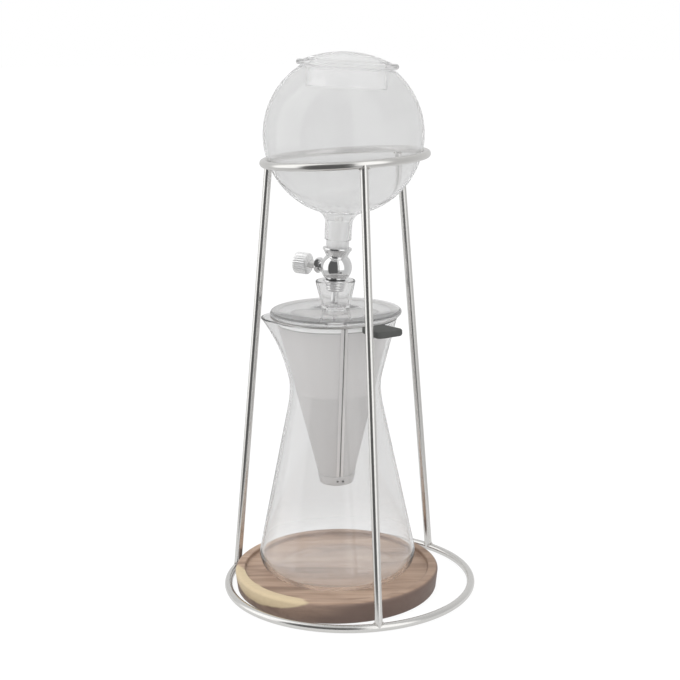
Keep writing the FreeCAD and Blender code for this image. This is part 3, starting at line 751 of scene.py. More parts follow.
class TOWER_OT_stand(bpy.types.Operator):
    """Build the wire rings, the legs and their welds"""
    bl_idname = "drip_tower.stand"
    bl_label = "Stand"

    def execute(self, context):
        sizes = context.scene.drip_stand
        wire = wire_finish(sizes)
        weld = weld_finish(sizes)
        rings = {}
        for node, start in RINGS.items():
            rings[node] = grow(node + "_wire", ring_tree(wire), {
                "Radius": ring_radius(node), "Height": node_middle(node).z, "Tilt": ring_tilt(node),
                "Wire": sizes.wire, "Start": math.radians(start), "Gap": sizes.butt_gap})
            settle(rings[node], "stand", "stand_wire", node)
        for node in LEGS:
            foot, head = leg_ends(node)
            rod = grow(node + "_rod", leg_tree(wire), {"Foot": foot, "Head": head, "Wire": sizes.wire})
            settle(rod, "stand", "stand_wire", node)
            along = (head - foot).normalized()
            for ring, end, way in zip(RINGS, (foot, head), (along, -along)):
                measures = {"End": end, "Along": way, "Wire": sizes.wire, "Bead": sizes.bead,
                            "Beads": sizes.bead_count}
                beads = grow(f"{node}_{ring}_weld", weld_tree(weld), measures, rings[ring].data.copy())
                settle(beads, "stand", "stand_wire")
        return {"FINISHED"}


# --- Coaster
class TOWER_OT_coaster(bpy.types.Operator):
    """Build the turned wooden coaster"""
    bl_idname = "drip_tower.coaster"
    bl_label = "Coaster"

    def execute(self, context):
        look = context.scene.drip_coaster
        _, top, _ = span("coaster")
        floor = top - look.depth / MM
        recess = look.recess / MM
        edge = look.edge / MM
        profile = rounded([(0, 0, 0), (look.foot / MM, 0, edge), (look.radius / MM, top, edge),
                           (recess, top, 1.2), (recess, floor, 2.0), (0, floor, 0)], steps=10)
        place = upright("coaster")
        wood = wood_finish(look, place.translation)
        piece = turned_piece("coaster_disc", profile, wood, place, LARGE, sharp=50.0)
        settle(piece, "stand", "coaster_wood", "coaster")
        return {"FINISHED"}


# --- Carafe
CARAFE_WAIST = (35.1, 163.0)  # outer radius and height, in millimetres, as all these are
CARAFE_RIM_RADIUS = 48.0
CARAFE_HEEL_RADIUS = 64.6
SHOULDER_HEIGHT = 155.0
SHOULDER_CURVE = 72.0
WAIST_CURVE = 40.0
HEEL_CURVE = 15.0
HEEL_NARROWS = 0.4  # how much smaller the heel's curve is inside, in walls
PUNT_RADIUS = 34.0
PUNT_DEPTH = 2.0
PUNT_CURVE = 60.0
CARAFE_STEPS = 44  # along each curve
NECK_STEPS = 64
SPOUT_START = 179.0
SPOUT_MIDDLE = 180.0  # degrees about Z
SPOUT_HALF_WIDTH = 36.0  # degrees


def carafe_side(wall, floor, top):
    """The carafe's side from the middle of its floor to its rim, set in from the outside by a wall."""
    waist, waist_height = CARAFE_WAIST
    lean = (CARAFE_HEEL_RADIUS - waist) / (SHOULDER_HEIGHT - floor)
    across = wall * math.hypot(1, lean)
    body = rounded([
        (0, floor + wall + PUNT_DEPTH, 0),
        (PUNT_RADIUS, floor + wall, PUNT_CURVE),
        (CARAFE_HEEL_RADIUS - across - lean * wall, floor + wall, HEEL_CURVE - HEEL_NARROWS * wall),
        (waist - wall, SHOULDER_HEIGHT - (across - wall) / lean, SHOULDER_CURVE + wall),
        (waist - wall, waist_height, 0),
    ], steps=CARAFE_STEPS)
    height = top - waist_height
    blend = WAIST_CURVE * (CARAFE_RIM_RADIUS - waist) / height
    start = waist + blend ** 2 / (2 * WAIST_CURVE)
    steeper = (CARAFE_RIM_RADIUS - start) / (height - blend)
    neck = []
    for step in range(1, NECK_STEPS + 1):
        rise = height * step / NECK_STEPS
        curved = waist + rise ** 2 / (2 * WAIST_CURVE)
        straight = start + (rise - blend) * steeper
        neck.append(((curved if rise < blend else straight) - wall, waist_height + rise))
    return body + neck


def spout_bulge(pull, top):
    """How far the spout stands out of the round neck, by angle and height."""
    def bulge(angle, height):
        off = abs(math.degrees(angle) - SPOUT_MIDDLE)
        share = math.cos(math.radians(min(off / SPOUT_HALF_WIDTH, 1) * 90)) ** 2
        lift = max(0.0, (height - SPOUT_START) / (top - SPOUT_START))
        return pull * share * lift ** 2
    return bulge


class TOWER_OT_carafe(bpy.types.Operator):
    """Build the blown carafe with its pulled spout"""
    bl_idname = "drip_tower.carafe"
    bl_label = "Carafe"

    def execute(self, context):
        look = context.scene.drip_glass
        foot, top, _ = span("carafe")
        wall = look.wall / MM
        lip = wall / 2
        outside = carafe_side(0, foot, top)[:-1]
        inside = carafe_side(wall, foot, top)[:-1]
        rim = arc((CARAFE_RIM_RADIUS - lip, top - lip), lip, 0, 180, 10)
        glass = glass_finish("Carafe Glass", look.carafe_tint, look.ripple, clearness=0.972)
        piece = turned_piece("carafe_body", outside + rim + inside[::-1], glass, upright("filter_rim"), LARGE,
                             spout_bulge(look.spout_pull / MM, top), 60.0)
        settle(piece, "carafe_unit", "carafe_glass", "carafe")
        return {"FINISHED"}


# --- Filter
CONE_TOP_RADIUS = 44.0
CONE_BASE_RADIUS = 12.4
CONE_WALL = 0.7
FLANGE_BORE = 42.6
FLANGE_EDGE = 0.39
SEAM_WIDTH = 5.0
SEAM_ANGLE = 10.0  # about Z, from the front towards +X
SEAM_LIFT = (0.02, 0.45)  # how far its two faces stand off the cone
SEAM_STEPS = (6, 40)  # across it and up it
DOT_SPREAD = 4.3  # between the spot welds
DOT_START = 0.86  # the first one's place, right of the middle
DOT_LIFT = 0.6  # off the cone, through the cap's skin
DOT_FLATNESS = 0.35


def lay_sheet(piece, place, apex, tilt):
    """A UV map of the cone's unrolled sheet, in metres. tilt is the cone's half angle."""
    mesh = piece.data
    back = place.inverted()
    layer = mesh.uv_layers.new(name="Sheet")
    for face in mesh.polygons:
        middle = back @ face.center
        facing = math.atan2(middle.y, middle.x)
        for loop in face.loop_indices:
            spot = back @ mesh.vertices[mesh.loops[loop].vertex_index].co
            angle = math.atan2(spot.y, spot.x)
            angle += TURN * round((facing - angle) / TURN)
            slant = math.hypot(spot.x, spot.y, spot.z - apex)
            turned = angle * math.sin(tilt)
            layer.data[loop].uv = (slant * math.cos(turned), slant * math.sin(turned))


def cone_radius(height):
    """The cone's outer radius at a height."""
    base, top, _ = span("filter_cone")
    return CONE_BASE_RADIUS + (height - base) / (top - base) * (CONE_TOP_RADIUS - CONE_BASE_RADIUS)


def add_seam(look, place, start, end):
    """A lapped strip up the outside of the cone, with its own map from edge to edge."""
    made = bmesh.new()
    sides, rises = SEAM_STEPS
    middle = math.radians(SEAM_ANGLE - 90)
    rows = []
    for up in range(rises + 1):
        height = start + (end - start) * up / rises
        radius = cone_radius(height)
        angles = [middle + math.asin(SEAM_WIDTH * (side / sides - 0.5) / radius) for side in range(sides + 1)]
        rows.append([
            [made.verts.new(((radius + lift) * math.cos(angle), (radius + lift) * math.sin(angle), height))
             for angle in angles] for lift in SEAM_LIFT])
    for lower, upper in zip(rows, rows[1:]):
        for low, high in zip(lower, upper):
            for side in range(sides):
                made.faces.new((low[side], low[side + 1], high[side + 1], high[side]))
        for side in (0, -1):
            made.faces.new((lower[0][side], upper[0][side], upper[1][side], lower[1][side]))
    for under, over in (rows[0], rows[-1]):
        for side in range(sides):
            made.faces.new((under[side], under[side + 1], over[side + 1], over[side]))
    bmesh.ops.recalc_face_normals(made, faces=made.faces)
    seam = finish_mesh("filter_lap", made, seam_finish(look), place)
    layer = seam.data.uv_layers.new(name="Sheet")
    across = Vector((math.cos(math.radians(SEAM_ANGLE)), math.sin(math.radians(SEAM_ANGLE)), 0))
    for loop in seam.data.loops:
        spot = seam.data.vertices[loop.vertex_index].co - place.translation
        layer.data[loop.index].uv = (spot.dot(across) / (SEAM_WIDTH * MM) + 0.5, spot.z)
    settle(seam, "filter_unit", "filter_steel", "filter_seam")


def add_dots(look, place, height):
    """Small dark spot welds on the cap, either side of the seam's line."""
    nodes, size = node_group("Spot Welds", ("Dot", "Spread"), ("Count",), ("Corner",))
    line = nodes.add("GeometryNodeMeshLine", {"mode": "OFFSET"}, {
        "Count": size["Count"], "Start Location": size["Corner"], "Offset": nodes.vector(X=size["Spread"])})
    spot = Finish("Spot Weld", base_color=(0.09, 0.085, 0.08), metallic=0.7, roughness=0.4)
    tree = close_group(nodes, nodes.beads(line, size["Dot"], (1.0, DOT_FLATNESS, 1.0)), spot.material)
    corner = place @ (Vector((DOT_START, -cone_radius(height) - DOT_LIFT, height)) * MM)
    dots = grow("filter_spot_welds", tree, {"Count": look.dot_count, "Dot": look.dot, "Spread": DOT_SPREAD * MM,
                                            "Corner": corner})
    settle(dots, "filter_unit", "filter_steel")


class TOWER_OT_filter(bpy.types.Operator):
    """Build the mesh cone with its rim, cap, seam and spot welds"""
    bl_idname = "drip_tower.filter"
    bl_label = "Filter"

    def execute(self, context):
        look = context.scene.drip_filter
        place = upright("filter_rim")
        steel = satin_steel_finish()
        base, top, _ = span("filter_cone")
        tilt = math.atan2(CONE_TOP_RADIUS - CONE_BASE_RADIUS, top - base)
        apex = (base - CONE_BASE_RADIUS / math.tan(tilt)) * MM
        woven = mesh_finish(look, top * MM - look.border, (base + look.painted_shade_top * (top - base)) * MM)
        cone = turned_piece("filter_mesh_cone", [
            (CONE_BASE_RADIUS - CONE_WALL, base), (CONE_BASE_RADIUS, base), (CONE_TOP_RADIUS, top),
            (CONE_TOP_RADIUS - CONE_WALL, top)], woven, place, LARGE)
        lay_sheet(cone, place, apex, tilt)
        settle(cone, "filter_unit", "filter_mesh", "filter_cone")

        low, high, outer = span("filter_rim")
        section = band(FLANGE_BORE, outer, low, high, 0.2, FLANGE_EDGE, 4)
        rim = turned_piece("filter_flange", section, steel, place, LARGE, sharp=60.0)
        settle(rim, "filter_unit", "filter_steel", "filter_rim")

        low, high, _ = span("filter_base_cap")
        skin = base - low
        cap = turned_piece("filter_cap", rounded([
            (0, low, 0), (CONE_BASE_RADIUS + skin, low, 1.6), (cone_radius(high) + skin, high, 0.25),
            (cone_radius(high), high, 0), (CONE_BASE_RADIUS, base, 0), (0, base, 0)]), woven, place, SMALL)
        lay_sheet(cap, place, apex, tilt)
        settle(cap, "filter_unit", "filter_steel", "filter_base_cap")
        add_seam(look, place, high, top)
        add_dots(look, place, (low + high) / 2 + 0.2)
        return {"FINISHED"}


# --- Handle of the filter
HANDLE_ANGLE = 34.0  # about Z, from the front towards +X
GRIP_START = 49.6
GRIP_END = 74.6
GRIP_ROOT_WIDTH = 18.5
GRIP_TIP_WIDTH = 24.0
GRIP_CORNER = 4.5
GRIP_EDGE = 1.6


class TOWER_OT_handle(bpy.types.Operator):
    """Build the silicone grip and dress the steel tongue in it"""
    bl_idname = "drip_tower.handle"
    bl_label = "Handle"

    def execute(self, context):
        foot, top, _ = span("handle_grip")
        place = upright("filter_rim") @ Matrix.Rotation(math.radians(HANDLE_ANGLE - 90), 4, "Z")
        root = GRIP_ROOT_WIDTH / 2
        tip = GRIP_TIP_WIDTH / 2
        outline = rounded([(GRIP_START, -root, 1.5), (GRIP_END, -tip, GRIP_CORNER),
                           (GRIP_END, tip, GRIP_CORNER), (GRIP_START, root, 1.5)], closed=True, steps=8)
        made = bmesh.new()
        floor = made.faces.new([made.verts.new((x, y, foot)) for x, y in outline])
        grown = bmesh.ops.extrude_face_region(made, geom=[floor])["geom"]
        lifted = [part for part in grown if isinstance(part, bmesh.types.BMVert)]
        bmesh.ops.translate(made, verts=lifted, vec=(0, 0, top - foot))
        level = [edge for edge in made.edges if abs(edge.verts[0].co.z - edge.verts[1].co.z) < (top - foot) / 2]
        bmesh.ops.bevel(made, geom=level, offset=GRIP_EDGE, segments=6, profile=0.5, affect="EDGES")
        bmesh.ops.recalc_face_normals(made, faces=made.faces)
        grip = finish_mesh("grip_paddle", made, grip_finish(), place, 50.0)
        settle(grip, "filter_unit", "grip_silicone", "handle_grip")
        dress("handle_bracket", satin_steel_finish())
        return {"FINISHED"}


# --- Lid and drip funnel
DRIP_HOLE_RADIUS = 6.3
LID_EDGE = 1.95
FUNNEL_FOOT_RADIUS = 10.3
FUNNEL_BASIN_RADIUS = 9.1
FUNNEL_LIP = 0.85
FUNNEL_WALL = 1.8
FUNNEL_FLOOR = 3.0
GLASS_GAP = 0.05  # between two pieces of glass that touch


class TOWER_OT_lid(bpy.types.Operator):
    """Build the carafe's flat glass lid and the drip funnel on it"""
    bl_idname = "drip_tower.lid"
    bl_label = "Carafe lid"

    def execute(self, context):
        look = context.scene.drip_glass
        glass = glass_finish("Pressed Glass", look.lid_tint, look.ripple, clearness=0.94)
        place = upright("carafe_lid")
        low, high, radius = span("carafe_lid")
        section = band(DRIP_HOLE_RADIUS, radius, low, high, 1.0, LID_EDGE, 8)
        lid = turned_piece("lid_disc", section, glass, place, LARGE, sharp=60.0)
        settle(lid, "lid_unit", "lid_glass", "carafe_lid")

        foot, top, mouth = span("drip_funnel")
        foot += GLASS_GAP
        floor = foot + FUNNEL_FLOOR
        pale = glass_finish("Funnel Glass", (0.99, 0.99, 0.99), look.ripple, clearness=0.95, bend=1.2)
        funnel = turned_piece("drip_cup", rounded([
            (DRIP_HOLE_RADIUS, foot, 0.5), (FUNNEL_FOOT_RADIUS, foot, 1.0), (mouth, top, FUNNEL_LIP),
            (mouth - FUNNEL_WALL, top, FUNNEL_LIP), (FUNNEL_BASIN_RADIUS, floor, 1.5),
            (DRIP_HOLE_RADIUS, floor, 0.8)], closed=True), pale, place, sharp=60.0)
        settle(funnel, "lid_unit", "lid_glass", "drip_funnel")
        return {"FINISHED"}


# --- Globe
GLOBE_RADIUS = 60.0
MOUTH_HEIGHT = 49.0
NECK_FILLET = 9.0
NECK_STEPS_UP = 6
GLOBE_ARC_STEPS = 220
GLOBE_STEPS = 176  # round it
GLOBE_LID_RADIUS = 38.0
GLOBE_LID_SEAT = 49.2
GLOBE_LID_RIM = 4.2
GLOBE_LID_EDGE = 2.05
GLOBE_LID_APEX = 60.4
DOME_HALF_WIDTH = 33.0
SKIRT_RADIUS = 30.4
SKIRT_DEPTH = 15.0
SKIRT_LIP = 0.95


def globe_side(wall):
    """The globe's side from the neck's end to its mouth, set in from the outside by a wall."""
    ball = GLOBE_RADIUS - wall
    bore = NECK_RADIUS - wall
    fillet = NECK_FILLET + wall
    height = -math.sqrt((ball + fillet) ** 2 - (bore + fillet) ** 2)
    meet = math.degrees(math.atan2(-height, -(bore + fillet)))
    mouth = math.degrees(math.asin(MOUTH_HEIGHT / ball))
    end = 1.0 - NECK_REACH
    neck = [(bore, end + (height - end) * step / NECK_STEPS_UP) for step in range(NECK_STEPS_UP)]
    curve = arc((bore + fillet, height), fillet, 180, meet, 10)
    return neck + curve[:-1] + arc((0, 0), ball, meet - 180, mouth, GLOBE_ARC_STEPS)


class TOWER_OT_globe(bpy.types.Operator):
    """Build the blown globe with its mouth and neck"""
    bl_idname = "drip_tower.globe"
    bl_label = "Globe"

    def execute(self, context):
        look = context.scene.drip_glass
        wall = look.wall / MM
        lip = wall / 2
        outside = globe_side(0)[:-1]
        inside = globe_side(wall)[:-1]
        across = Vector(outside[-1]) - Vector(inside[-1])
        middle = Vector(inside[-1]) + across / 2
        start = math.degrees(math.atan2(across.y, across.x))
        rim = arc(middle, across.length / 2, start, start + 180, 8)[1:-1]
        end = arc((NECK_RADIUS - lip, lip - NECK_REACH), lip, 180, 360, 8)[1:-1]
        glass = glass_finish("Blown Glass", look.globe_tint, look.ripple, clearness=0.92)
        profile = outside + rim + inside[::-1] + end
        piece = turned_piece("globe_shell", profile, glass, globe_place(), GLOBE_STEPS, sharp=70.0)
        settle(piece, "globe_unit", "globe_glass", "globe")
        return {"FINISHED"}


class TOWER_OT_globe_lid(bpy.types.Operator):
    """Build the globe's domed lid with its skirt"""
    bl_idname = "drip_tower.globe_lid"
    bl_label = "Globe lid"

    def execute(self, context):
        look = context.scene.drip_glass
        wall = look.wall / MM
        rim_top = GLOBE_LID_SEAT + GLOBE_LID_RIM
        rise = GLOBE_LID_APEX - rim_top
        dome = (rise ** 2 + DOME_HALF_WIDTH ** 2) / (2 * rise)
        under = dome - wall
        centre = GLOBE_LID_APEX - dome
        bore = SKIRT_RADIUS - wall
        end = GLOBE_LID_SEAT - SKIRT_DEPTH
        above = math.degrees(math.acos(DOME_HALF_WIDTH / dome))
        below = math.degrees(math.acos(bore / under))
        edge = rounded([
            (bore, centre + under * math.sin(math.radians(below)), 0), (bore, end, SKIRT_LIP),
            (SKIRT_RADIUS, end, SKIRT_LIP), (SKIRT_RADIUS, GLOBE_LID_SEAT, 1.0),
            (GLOBE_LID_RADIUS, GLOBE_LID_SEAT, GLOBE_LID_EDGE), (GLOBE_LID_RADIUS, rim_top, GLOBE_LID_EDGE),
            (DOME_HALF_WIDTH, rim_top, 0)], steps=8)
        profile = arc((0, centre), under, 90, below, 24)[:-1] + edge + arc((0, centre), dome, above, 90, 24)[1:]
        glass = glass_finish("Lid Glass", look.lid_tint, look.ripple, clearness=0.92)
        piece = turned_piece("globe_lid_dome", profile, glass, globe_place(), LARGE, sharp=60.0)
        settle(piece, "globe_lid_unit", "globe_glass", "globe_lid")
        return {"FINISHED"}


# --- Valve
TUBE_RADIUS = 3.0
STOPPER_RADIUS = 8.15
STOPPER_SHOULDER = 8.6
STOPPER_SEAT = 0.2  # the shoulder's distance under the neck
STOPPER_TOP = -64.0
STOPPER_END = -84.4
COLLAR_RIM_RADIUS = 11.0
COLLAR_WAIST_RADIUS = 8.1
COLLAR_RIM_DEPTH = 1.6
COLLAR_EDGE = 0.65
COLLAR_FLARE = 0.8  # the power that shapes the flare
COLLAR_STEPS = 12
BALL_RADIUS = 11.85
BALL_FLAT_RADIUS = 8.1
BOSS_RADIUS = 4.3
BOSS_START = 8.0
BOSS_REACH = 13.2
NUT_FLATS = 10.6
NUT_LENGTH = 3.3
NUT_CHAMFER = 0.7
STEM_RADIUS = 2.9
STEM_PLAY = 0.1
STEM_START = 7.5
KNOB_START = 22.8
KNOB_LENGTH = 11.0
KNOB_RADIUS = 8.2
KNOB_DISH = 1.2  # depth of the shallow dish in the knob's end
KNOB_DISH_RADIUS = 5.0
KNOB_WEB = 5.0  # how far under that end the stem's hole stops
KNURL_MARGIN = 1.1  # plain metal at each end of the knurl
RIDGE_STEPS = 10  # round each ridge of the knurl
KNURL_START = 0.05  # how deep under the widest radius the knurl still presses
SPIGOT_FLANGE_RADIUS = 9.8
SPIGOT_FLANGE = 1.3
SPIGOT_RADIUS = 8.6
SPIGOT_FOOT_RADIUS = 6.8
WASHER_THICKNESS = 0.8
SPIGOT_LENGTH = 8.8
NOZZLE_RADIUS = 2.9
NOZZLE_TIP_RADIUS = 2.2
NOZZLE_TAPER = 2.0
NOZZLE_END = -127.6
PASSAGE_RADIUS = 1.2


def ball_flat():
    """How far the ball's flats lie from its middle."""
    return math.sqrt(BALL_RADIUS ** 2 - BALL_FLAT_RADIUS ** 2)


class TOWER_OT_stopper(bpy.types.Operator):
    """Build the silicone stopper in the globe's neck"""
    bl_idname = "drip_tower.stopper"
    bl_label = "Stopper"

    def execute(self, context):
        shoulder = -NECK_REACH - STOPPER_SEAT
        profile = rounded([(TUBE_RADIUS, STOPPER_TOP, 0.3), (STOPPER_RADIUS, STOPPER_TOP, 1.0),
                           (STOPPER_RADIUS, shoulder, 0), (STOPPER_SHOULDER, shoulder, 0.4),
                           (STOPPER_SHOULDER, STOPPER_END, 0.2), (TUBE_RADIUS, STOPPER_END, 0)], closed=True)
        piece = turned_piece("stopper_plug", profile, stopper_finish(), globe_place(), SMALL)
        settle(piece, "globe_unit", "stopper_silicone", "neck_stopper")
        return {"FINISHED"}


def add_ball(chrome):
    """The ball with its flats, and the boss for the stem cut into one skin with it."""
    flat = math.degrees(math.asin(ball_flat() / BALL_RADIUS))
    side = arc((0, -VALVE_DROP), BALL_RADIUS, -flat, flat, 48)
    ball = turned_piece("valve_ball", [(PASSAGE_RADIUS, side[0][1])] + side + [(PASSAGE_RADIUS, side[-1][1])],
                        chrome, globe_place())
    bore = STEM_RADIUS + STEM_PLAY
    boss = turned_piece("boss_cutter", rounded([
        (bore, BOSS_START, 0), (BOSS_RADIUS, BOSS_START, 0), (BOSS_RADIUS, BOSS_REACH, 0.4),
        (bore, BOSS_REACH, 0)], closed=True), chrome, knob_place(), TINY)
    union = ball.modifiers.new("Boss", "BOOLEAN")
    union.operation = "UNION"
    union.solver = "EXACT"
    union.object = boss
    keep_result(ball)
    bpy.data.objects.remove(boss)
    ball.data.set_sharp_from_angle(angle=math.radians(35))
    settle(ball, "globe_unit", "valve_chrome", "valve_body")


def add_nut(chrome):
    """A chamfered hexagon nut on the stem."""
    nodes, size = node_group("Hexagon Nut", ("Flats", "Length", "Bore", "Start"))
    corner = size["Flats"] / 2 / math.cos(math.radians(30))
    prism = nodes.add("GeometryNodeMeshCylinder", {}, {"Vertices": 6, "Side Segments": 1, "Fill Segments": 1,
                                                       "Radius": corner, "Depth": size["Length"]})
    dome = nodes.add("GeometryNodeMeshCone", {}, {
        "Vertices": 64, "Radius Bottom": corner + NUT_CHAMFER, "Radius Top": corner - NUT_CHAMFER,
        "Depth": size["Length"]})
    bore = nodes.add("GeometryNodeMeshCylinder", {}, {"Vertices": 48, "Radius": size["Bore"],
                                                      "Depth": size["Length"] * 1.2})
    lowered = nodes.moved(dome, Translation=nodes.vector(Z=size["Length"] * -0.5))
    chamfered = nodes.add("GeometryNodeMeshBoolean", {"operation": "INTERSECT", "solver": "EXACT"},
                          {"Mesh 2": prism})
    nodes.tree.links.new(lowered.output, chamfered.output.node.inputs["Mesh 2"])
    bored = nodes.add("GeometryNodeMeshBoolean", {"operation": "DIFFERENCE", "solver": "EXACT"},
                      {"Mesh 1": chamfered, "Mesh 2": bore})
    lifted = nodes.moved(bored, Translation=nodes.vector(Z=size["Start"] + size["Length"] / 2))
    nut = grow("nut_hexagon", close_group(nodes, lifted, chrome), {
        "Flats": NUT_FLATS, "Length": NUT_LENGTH, "Bore": STEM_RADIUS + STEM_PLAY, "Start": BOSS_REACH})
    put_in_place(nut.data, knob_place(), 20)
    settle(nut, "globe_unit", "valve_chrome", "gland_nut")


class TOWER_OT_valve(bpy.types.Operator):
    """Build the chrome collar, ball, gland nut and stem"""
    bl_idname = "drip_tower.valve"
    bl_label = "Valve"

    def execute(self, context):
        chrome = chrome_finish()
        waist = -VALVE_DROP + ball_flat()
        rim = STOPPER_END - COLLAR_RIM_DEPTH
        lip = arc((COLLAR_RIM_RADIUS - COLLAR_EDGE, STOPPER_END - COLLAR_EDGE), COLLAR_EDGE, 90, 0, 6)
        shares = [step / COLLAR_STEPS for step in range(COLLAR_STEPS + 1)]
        narrows = COLLAR_RIM_RADIUS - COLLAR_WAIST_RADIUS
        flare = [(COLLAR_RIM_RADIUS - narrows * share ** COLLAR_FLARE, rim + (waist - rim) * share)
                 for share in shares]
        collar = turned_piece("collar_flare", [(TUBE_RADIUS, STOPPER_END), *lip, *flare, (TUBE_RADIUS, waist)],
                              chrome, globe_place(), sharp=50.0)
        settle(collar, "globe_unit", "valve_chrome", "valve_collar")
        add_ball(chrome)
        add_nut(chrome)
        end = KNOB_START + KNOB_LENGTH / 2
        stem = turned_piece("stem_rod", rounded([
            (0, STEM_START, 0), (STEM_RADIUS, STEM_START, 0.3), (STEM_RADIUS, end, 0), (0, end, 0)]),
            turned_steel_finish(), knob_place(), TINY)
        settle(stem, "knob_unit", "valve_steel", "valve_stem")
        return {"FINISHED"}


def knurl_tree(material):
    """Straight ridges pressed into the widest part of a turned blank."""
    nodes, size = node_group("Knurl", ("Depth", "Radius"), ("Ridges",), geometry_in=True)
    x, y, _ = nodes.split(nodes.add("GeometryNodeInputPosition"))
    reach = from_axis(x, y)
    wave = (y.math("ARCTAN2", x) * size["Ridges"]).math("COSINE")
    press = (reach > size["Radius"] - KNURL_START) * size["Depth"] * (0.5 - 0.5 * wave)
    share = -1 * (press / reach)
    pressed = nodes.add("GeometryNodeSetPosition", {}, {"Geometry": size["Geometry"],
                                                        "Offset": nodes.vector(X=x * share, Y=y * share)})
    return close_group(nodes, pressed, material)


class TOWER_OT_knob(bpy.types.Operator):
    """Build the knurled knob"""
    bl_idname = "drip_tower.knob"
    bl_label = "Knob"

    def execute(self, context):
        sizes = context.scene.drip_valve
        chrome = chrome_finish("Knurled Chrome", roughness=0.16, metallic=0.62, shade=0.92)
        end = KNOB_START + KNOB_LENGTH
        knurl = KNOB_LENGTH - 2 * KNURL_MARGIN
        rows = [(KNOB_RADIUS, KNOB_START + KNURL_MARGIN + knurl * row / 8) for row in range(9)]
        floor = end - KNOB_DISH
        profile = [(STEM_RADIUS, KNOB_START), (KNOB_RADIUS - 1.0, KNOB_START),
                   (KNOB_RADIUS - 0.25, KNOB_START + 0.5), *rows, (KNOB_RADIUS - 0.25, end - 0.5),
                   (KNOB_RADIUS - 1.0, end), (KNOB_DISH_RADIUS + 0.9, end),
                   (KNOB_DISH_RADIUS + 0.3, end - 0.35), (KNOB_DISH_RADIUS, floor), (0, floor),
                   (0, end - KNOB_WEB), (STEM_RADIUS, end - KNOB_WEB)]
        blank = plain_mesh("knob_blank", turned_mesh(profile, sizes.knurl_count * RIDGE_STEPS))
        knob = grow("knob_knurled", knurl_tree(chrome), {
            "Ridges": sizes.knurl_count, "Depth": sizes.knurl_depth / MM, "Radius": KNOB_RADIUS}, blank)
        put_in_place(knob.data, knob_place(), 35)
        settle(knob, "knob_unit", "valve_chrome", "knob")
        return {"FINISHED"}


def thread_tree(material):
    """A round rib wound up a tapered core."""
    nodes, size = node_group("Rib", ("Foot Radius", "Top Radius", "Rise", "Turns", "Start", "Length"),
                             geometry_in=True)
    helix = nodes.add("GeometryNodeCurveSpiral", {}, {
        "Resolution": 96, "Rotations": size["Turns"], "Start Radius": size["Foot Radius"],
        "End Radius": size["Top Radius"], "Height": size["Length"]})
    rib = nodes.tube(nodes.moved(helix, Translation=nodes.vector(Z=size["Start"])), size["Rise"], 16)
    joined = nodes.add("GeometryNodeJoinGeometry", {}, {"Geometry": size["Geometry"]})
    nodes.tree.links.new(rib.output, joined.output.node.inputs[0])
    return close_group(nodes, joined, material)


class TOWER_OT_outlet(bpy.types.Operator):
    """Build the ribbed stub and the nozzle under the valve"""
    bl_idname = "drip_tower.outlet"
    bl_label = "Outlet"

    def execute(self, context):
        sizes = context.scene.drip_valve
        chrome = chrome_finish()
        top = -VALVE_DROP - ball_flat() - WASHER_THICKNESS
        end = top - SPIGOT_LENGTH
        rise = sizes.thread_rise / MM
        under = top - SPIGOT_FLANGE
        stub = plain_mesh("stub_core", turned_mesh(rounded([
            (PASSAGE_RADIUS, top, 0), (SPIGOT_FLANGE_RADIUS, top, 0.4), (SPIGOT_FLANGE_RADIUS, under, 0.4),
            (SPIGOT_RADIUS - rise, under, 0.2), (SPIGOT_FOOT_RADIUS - rise, end, 0.6),
            (PASSAGE_RADIUS, end, 0)], closed=True, steps=4), SMALL))
        spigot = grow("spigot_threaded", thread_tree(chrome), {
            "Foot Radius": SPIGOT_FOOT_RADIUS - rise, "Top Radius": SPIGOT_RADIUS - rise, "Rise": rise,
            "Turns": sizes.thread_turns, "Start": end + rise, "Length": under - end - 2 * rise}, stub)
        put_in_place(spigot.data, globe_place(), 40)
        settle(spigot, "globe_unit", "valve_chrome", "outlet_spigot")
        nozzle = turned_piece("nozzle_tip", rounded([
            (PASSAGE_RADIUS, end, 0), (NOZZLE_RADIUS, end, 0), (NOZZLE_RADIUS, NOZZLE_END + NOZZLE_TAPER, 1.5),
            (NOZZLE_TIP_RADIUS, NOZZLE_END, 0.2), (PASSAGE_RADIUS, NOZZLE_END, 0)], closed=True),
            chrome, globe_place(), TINY)
        settle(nozzle, "globe_unit", "valve_chrome", "drip_nozzle")
        return {"FINISHED"}


class TOWER_OT_inner_parts(bpy.types.Operator):
    """Dress the small parts inside the valve and the neck"""
    bl_idname = "drip_tower.inner_parts"
    bl_label = "Inner parts"

    def execute(self, context):
        steel = turned_steel_finish()
        rubber = rubber_finish()
        for node, material in (("inlet_tube", steel), ("needle", steel), ("valve_seat", brass_finish()),
                               ("stem_packing", rubber), ("outlet_washer", rubber)):
            dress(node, material)
        return {"FINISHED"}


# --- Stage
BOX_LEFT = (-112, -64)  # the softboxes, in degrees from the front towards +X
BOX_RIGHT = (14, 60)
BOX_HEIGHT = (-14, 72)  # and above the horizon
GAP_HEIGHT = (-62, 51)  # of the dark room between them
EDGE = 6  # how softly they end
BOX_STRENGTH = 1.3
GAP_STRENGTH = 0.11
GLASS_CLEARS = 0.8  # how much less of that dark room shows through glass
SIDE_STRENGTH = 0.58  # the room beside the softboxes, fading to that behind
BACK_STRENGTH = 0.70
BACK_SPAN = (70, 150)  # from this many degrees to the side to this many
SKY = (0.7, 0.6)  # the plain light from the side, and how much more comes from above
FLOOR_SIDE = 30.0
FLOOR_COLOUR = (0.93, 0.93, 0.93, 1)
FLOOR_WHITE = 1.04  # what the eye sees of the floor,
FLOOR_GLOW = 0.88  # and how much of it hides the lit floor
TABLE_REACH = (0.12, 0.22)  # where the pale table fades into the room in a mirror
TABLE_STRENGTH = 0.75
KEY_SIZE = (1.2, 0.8)
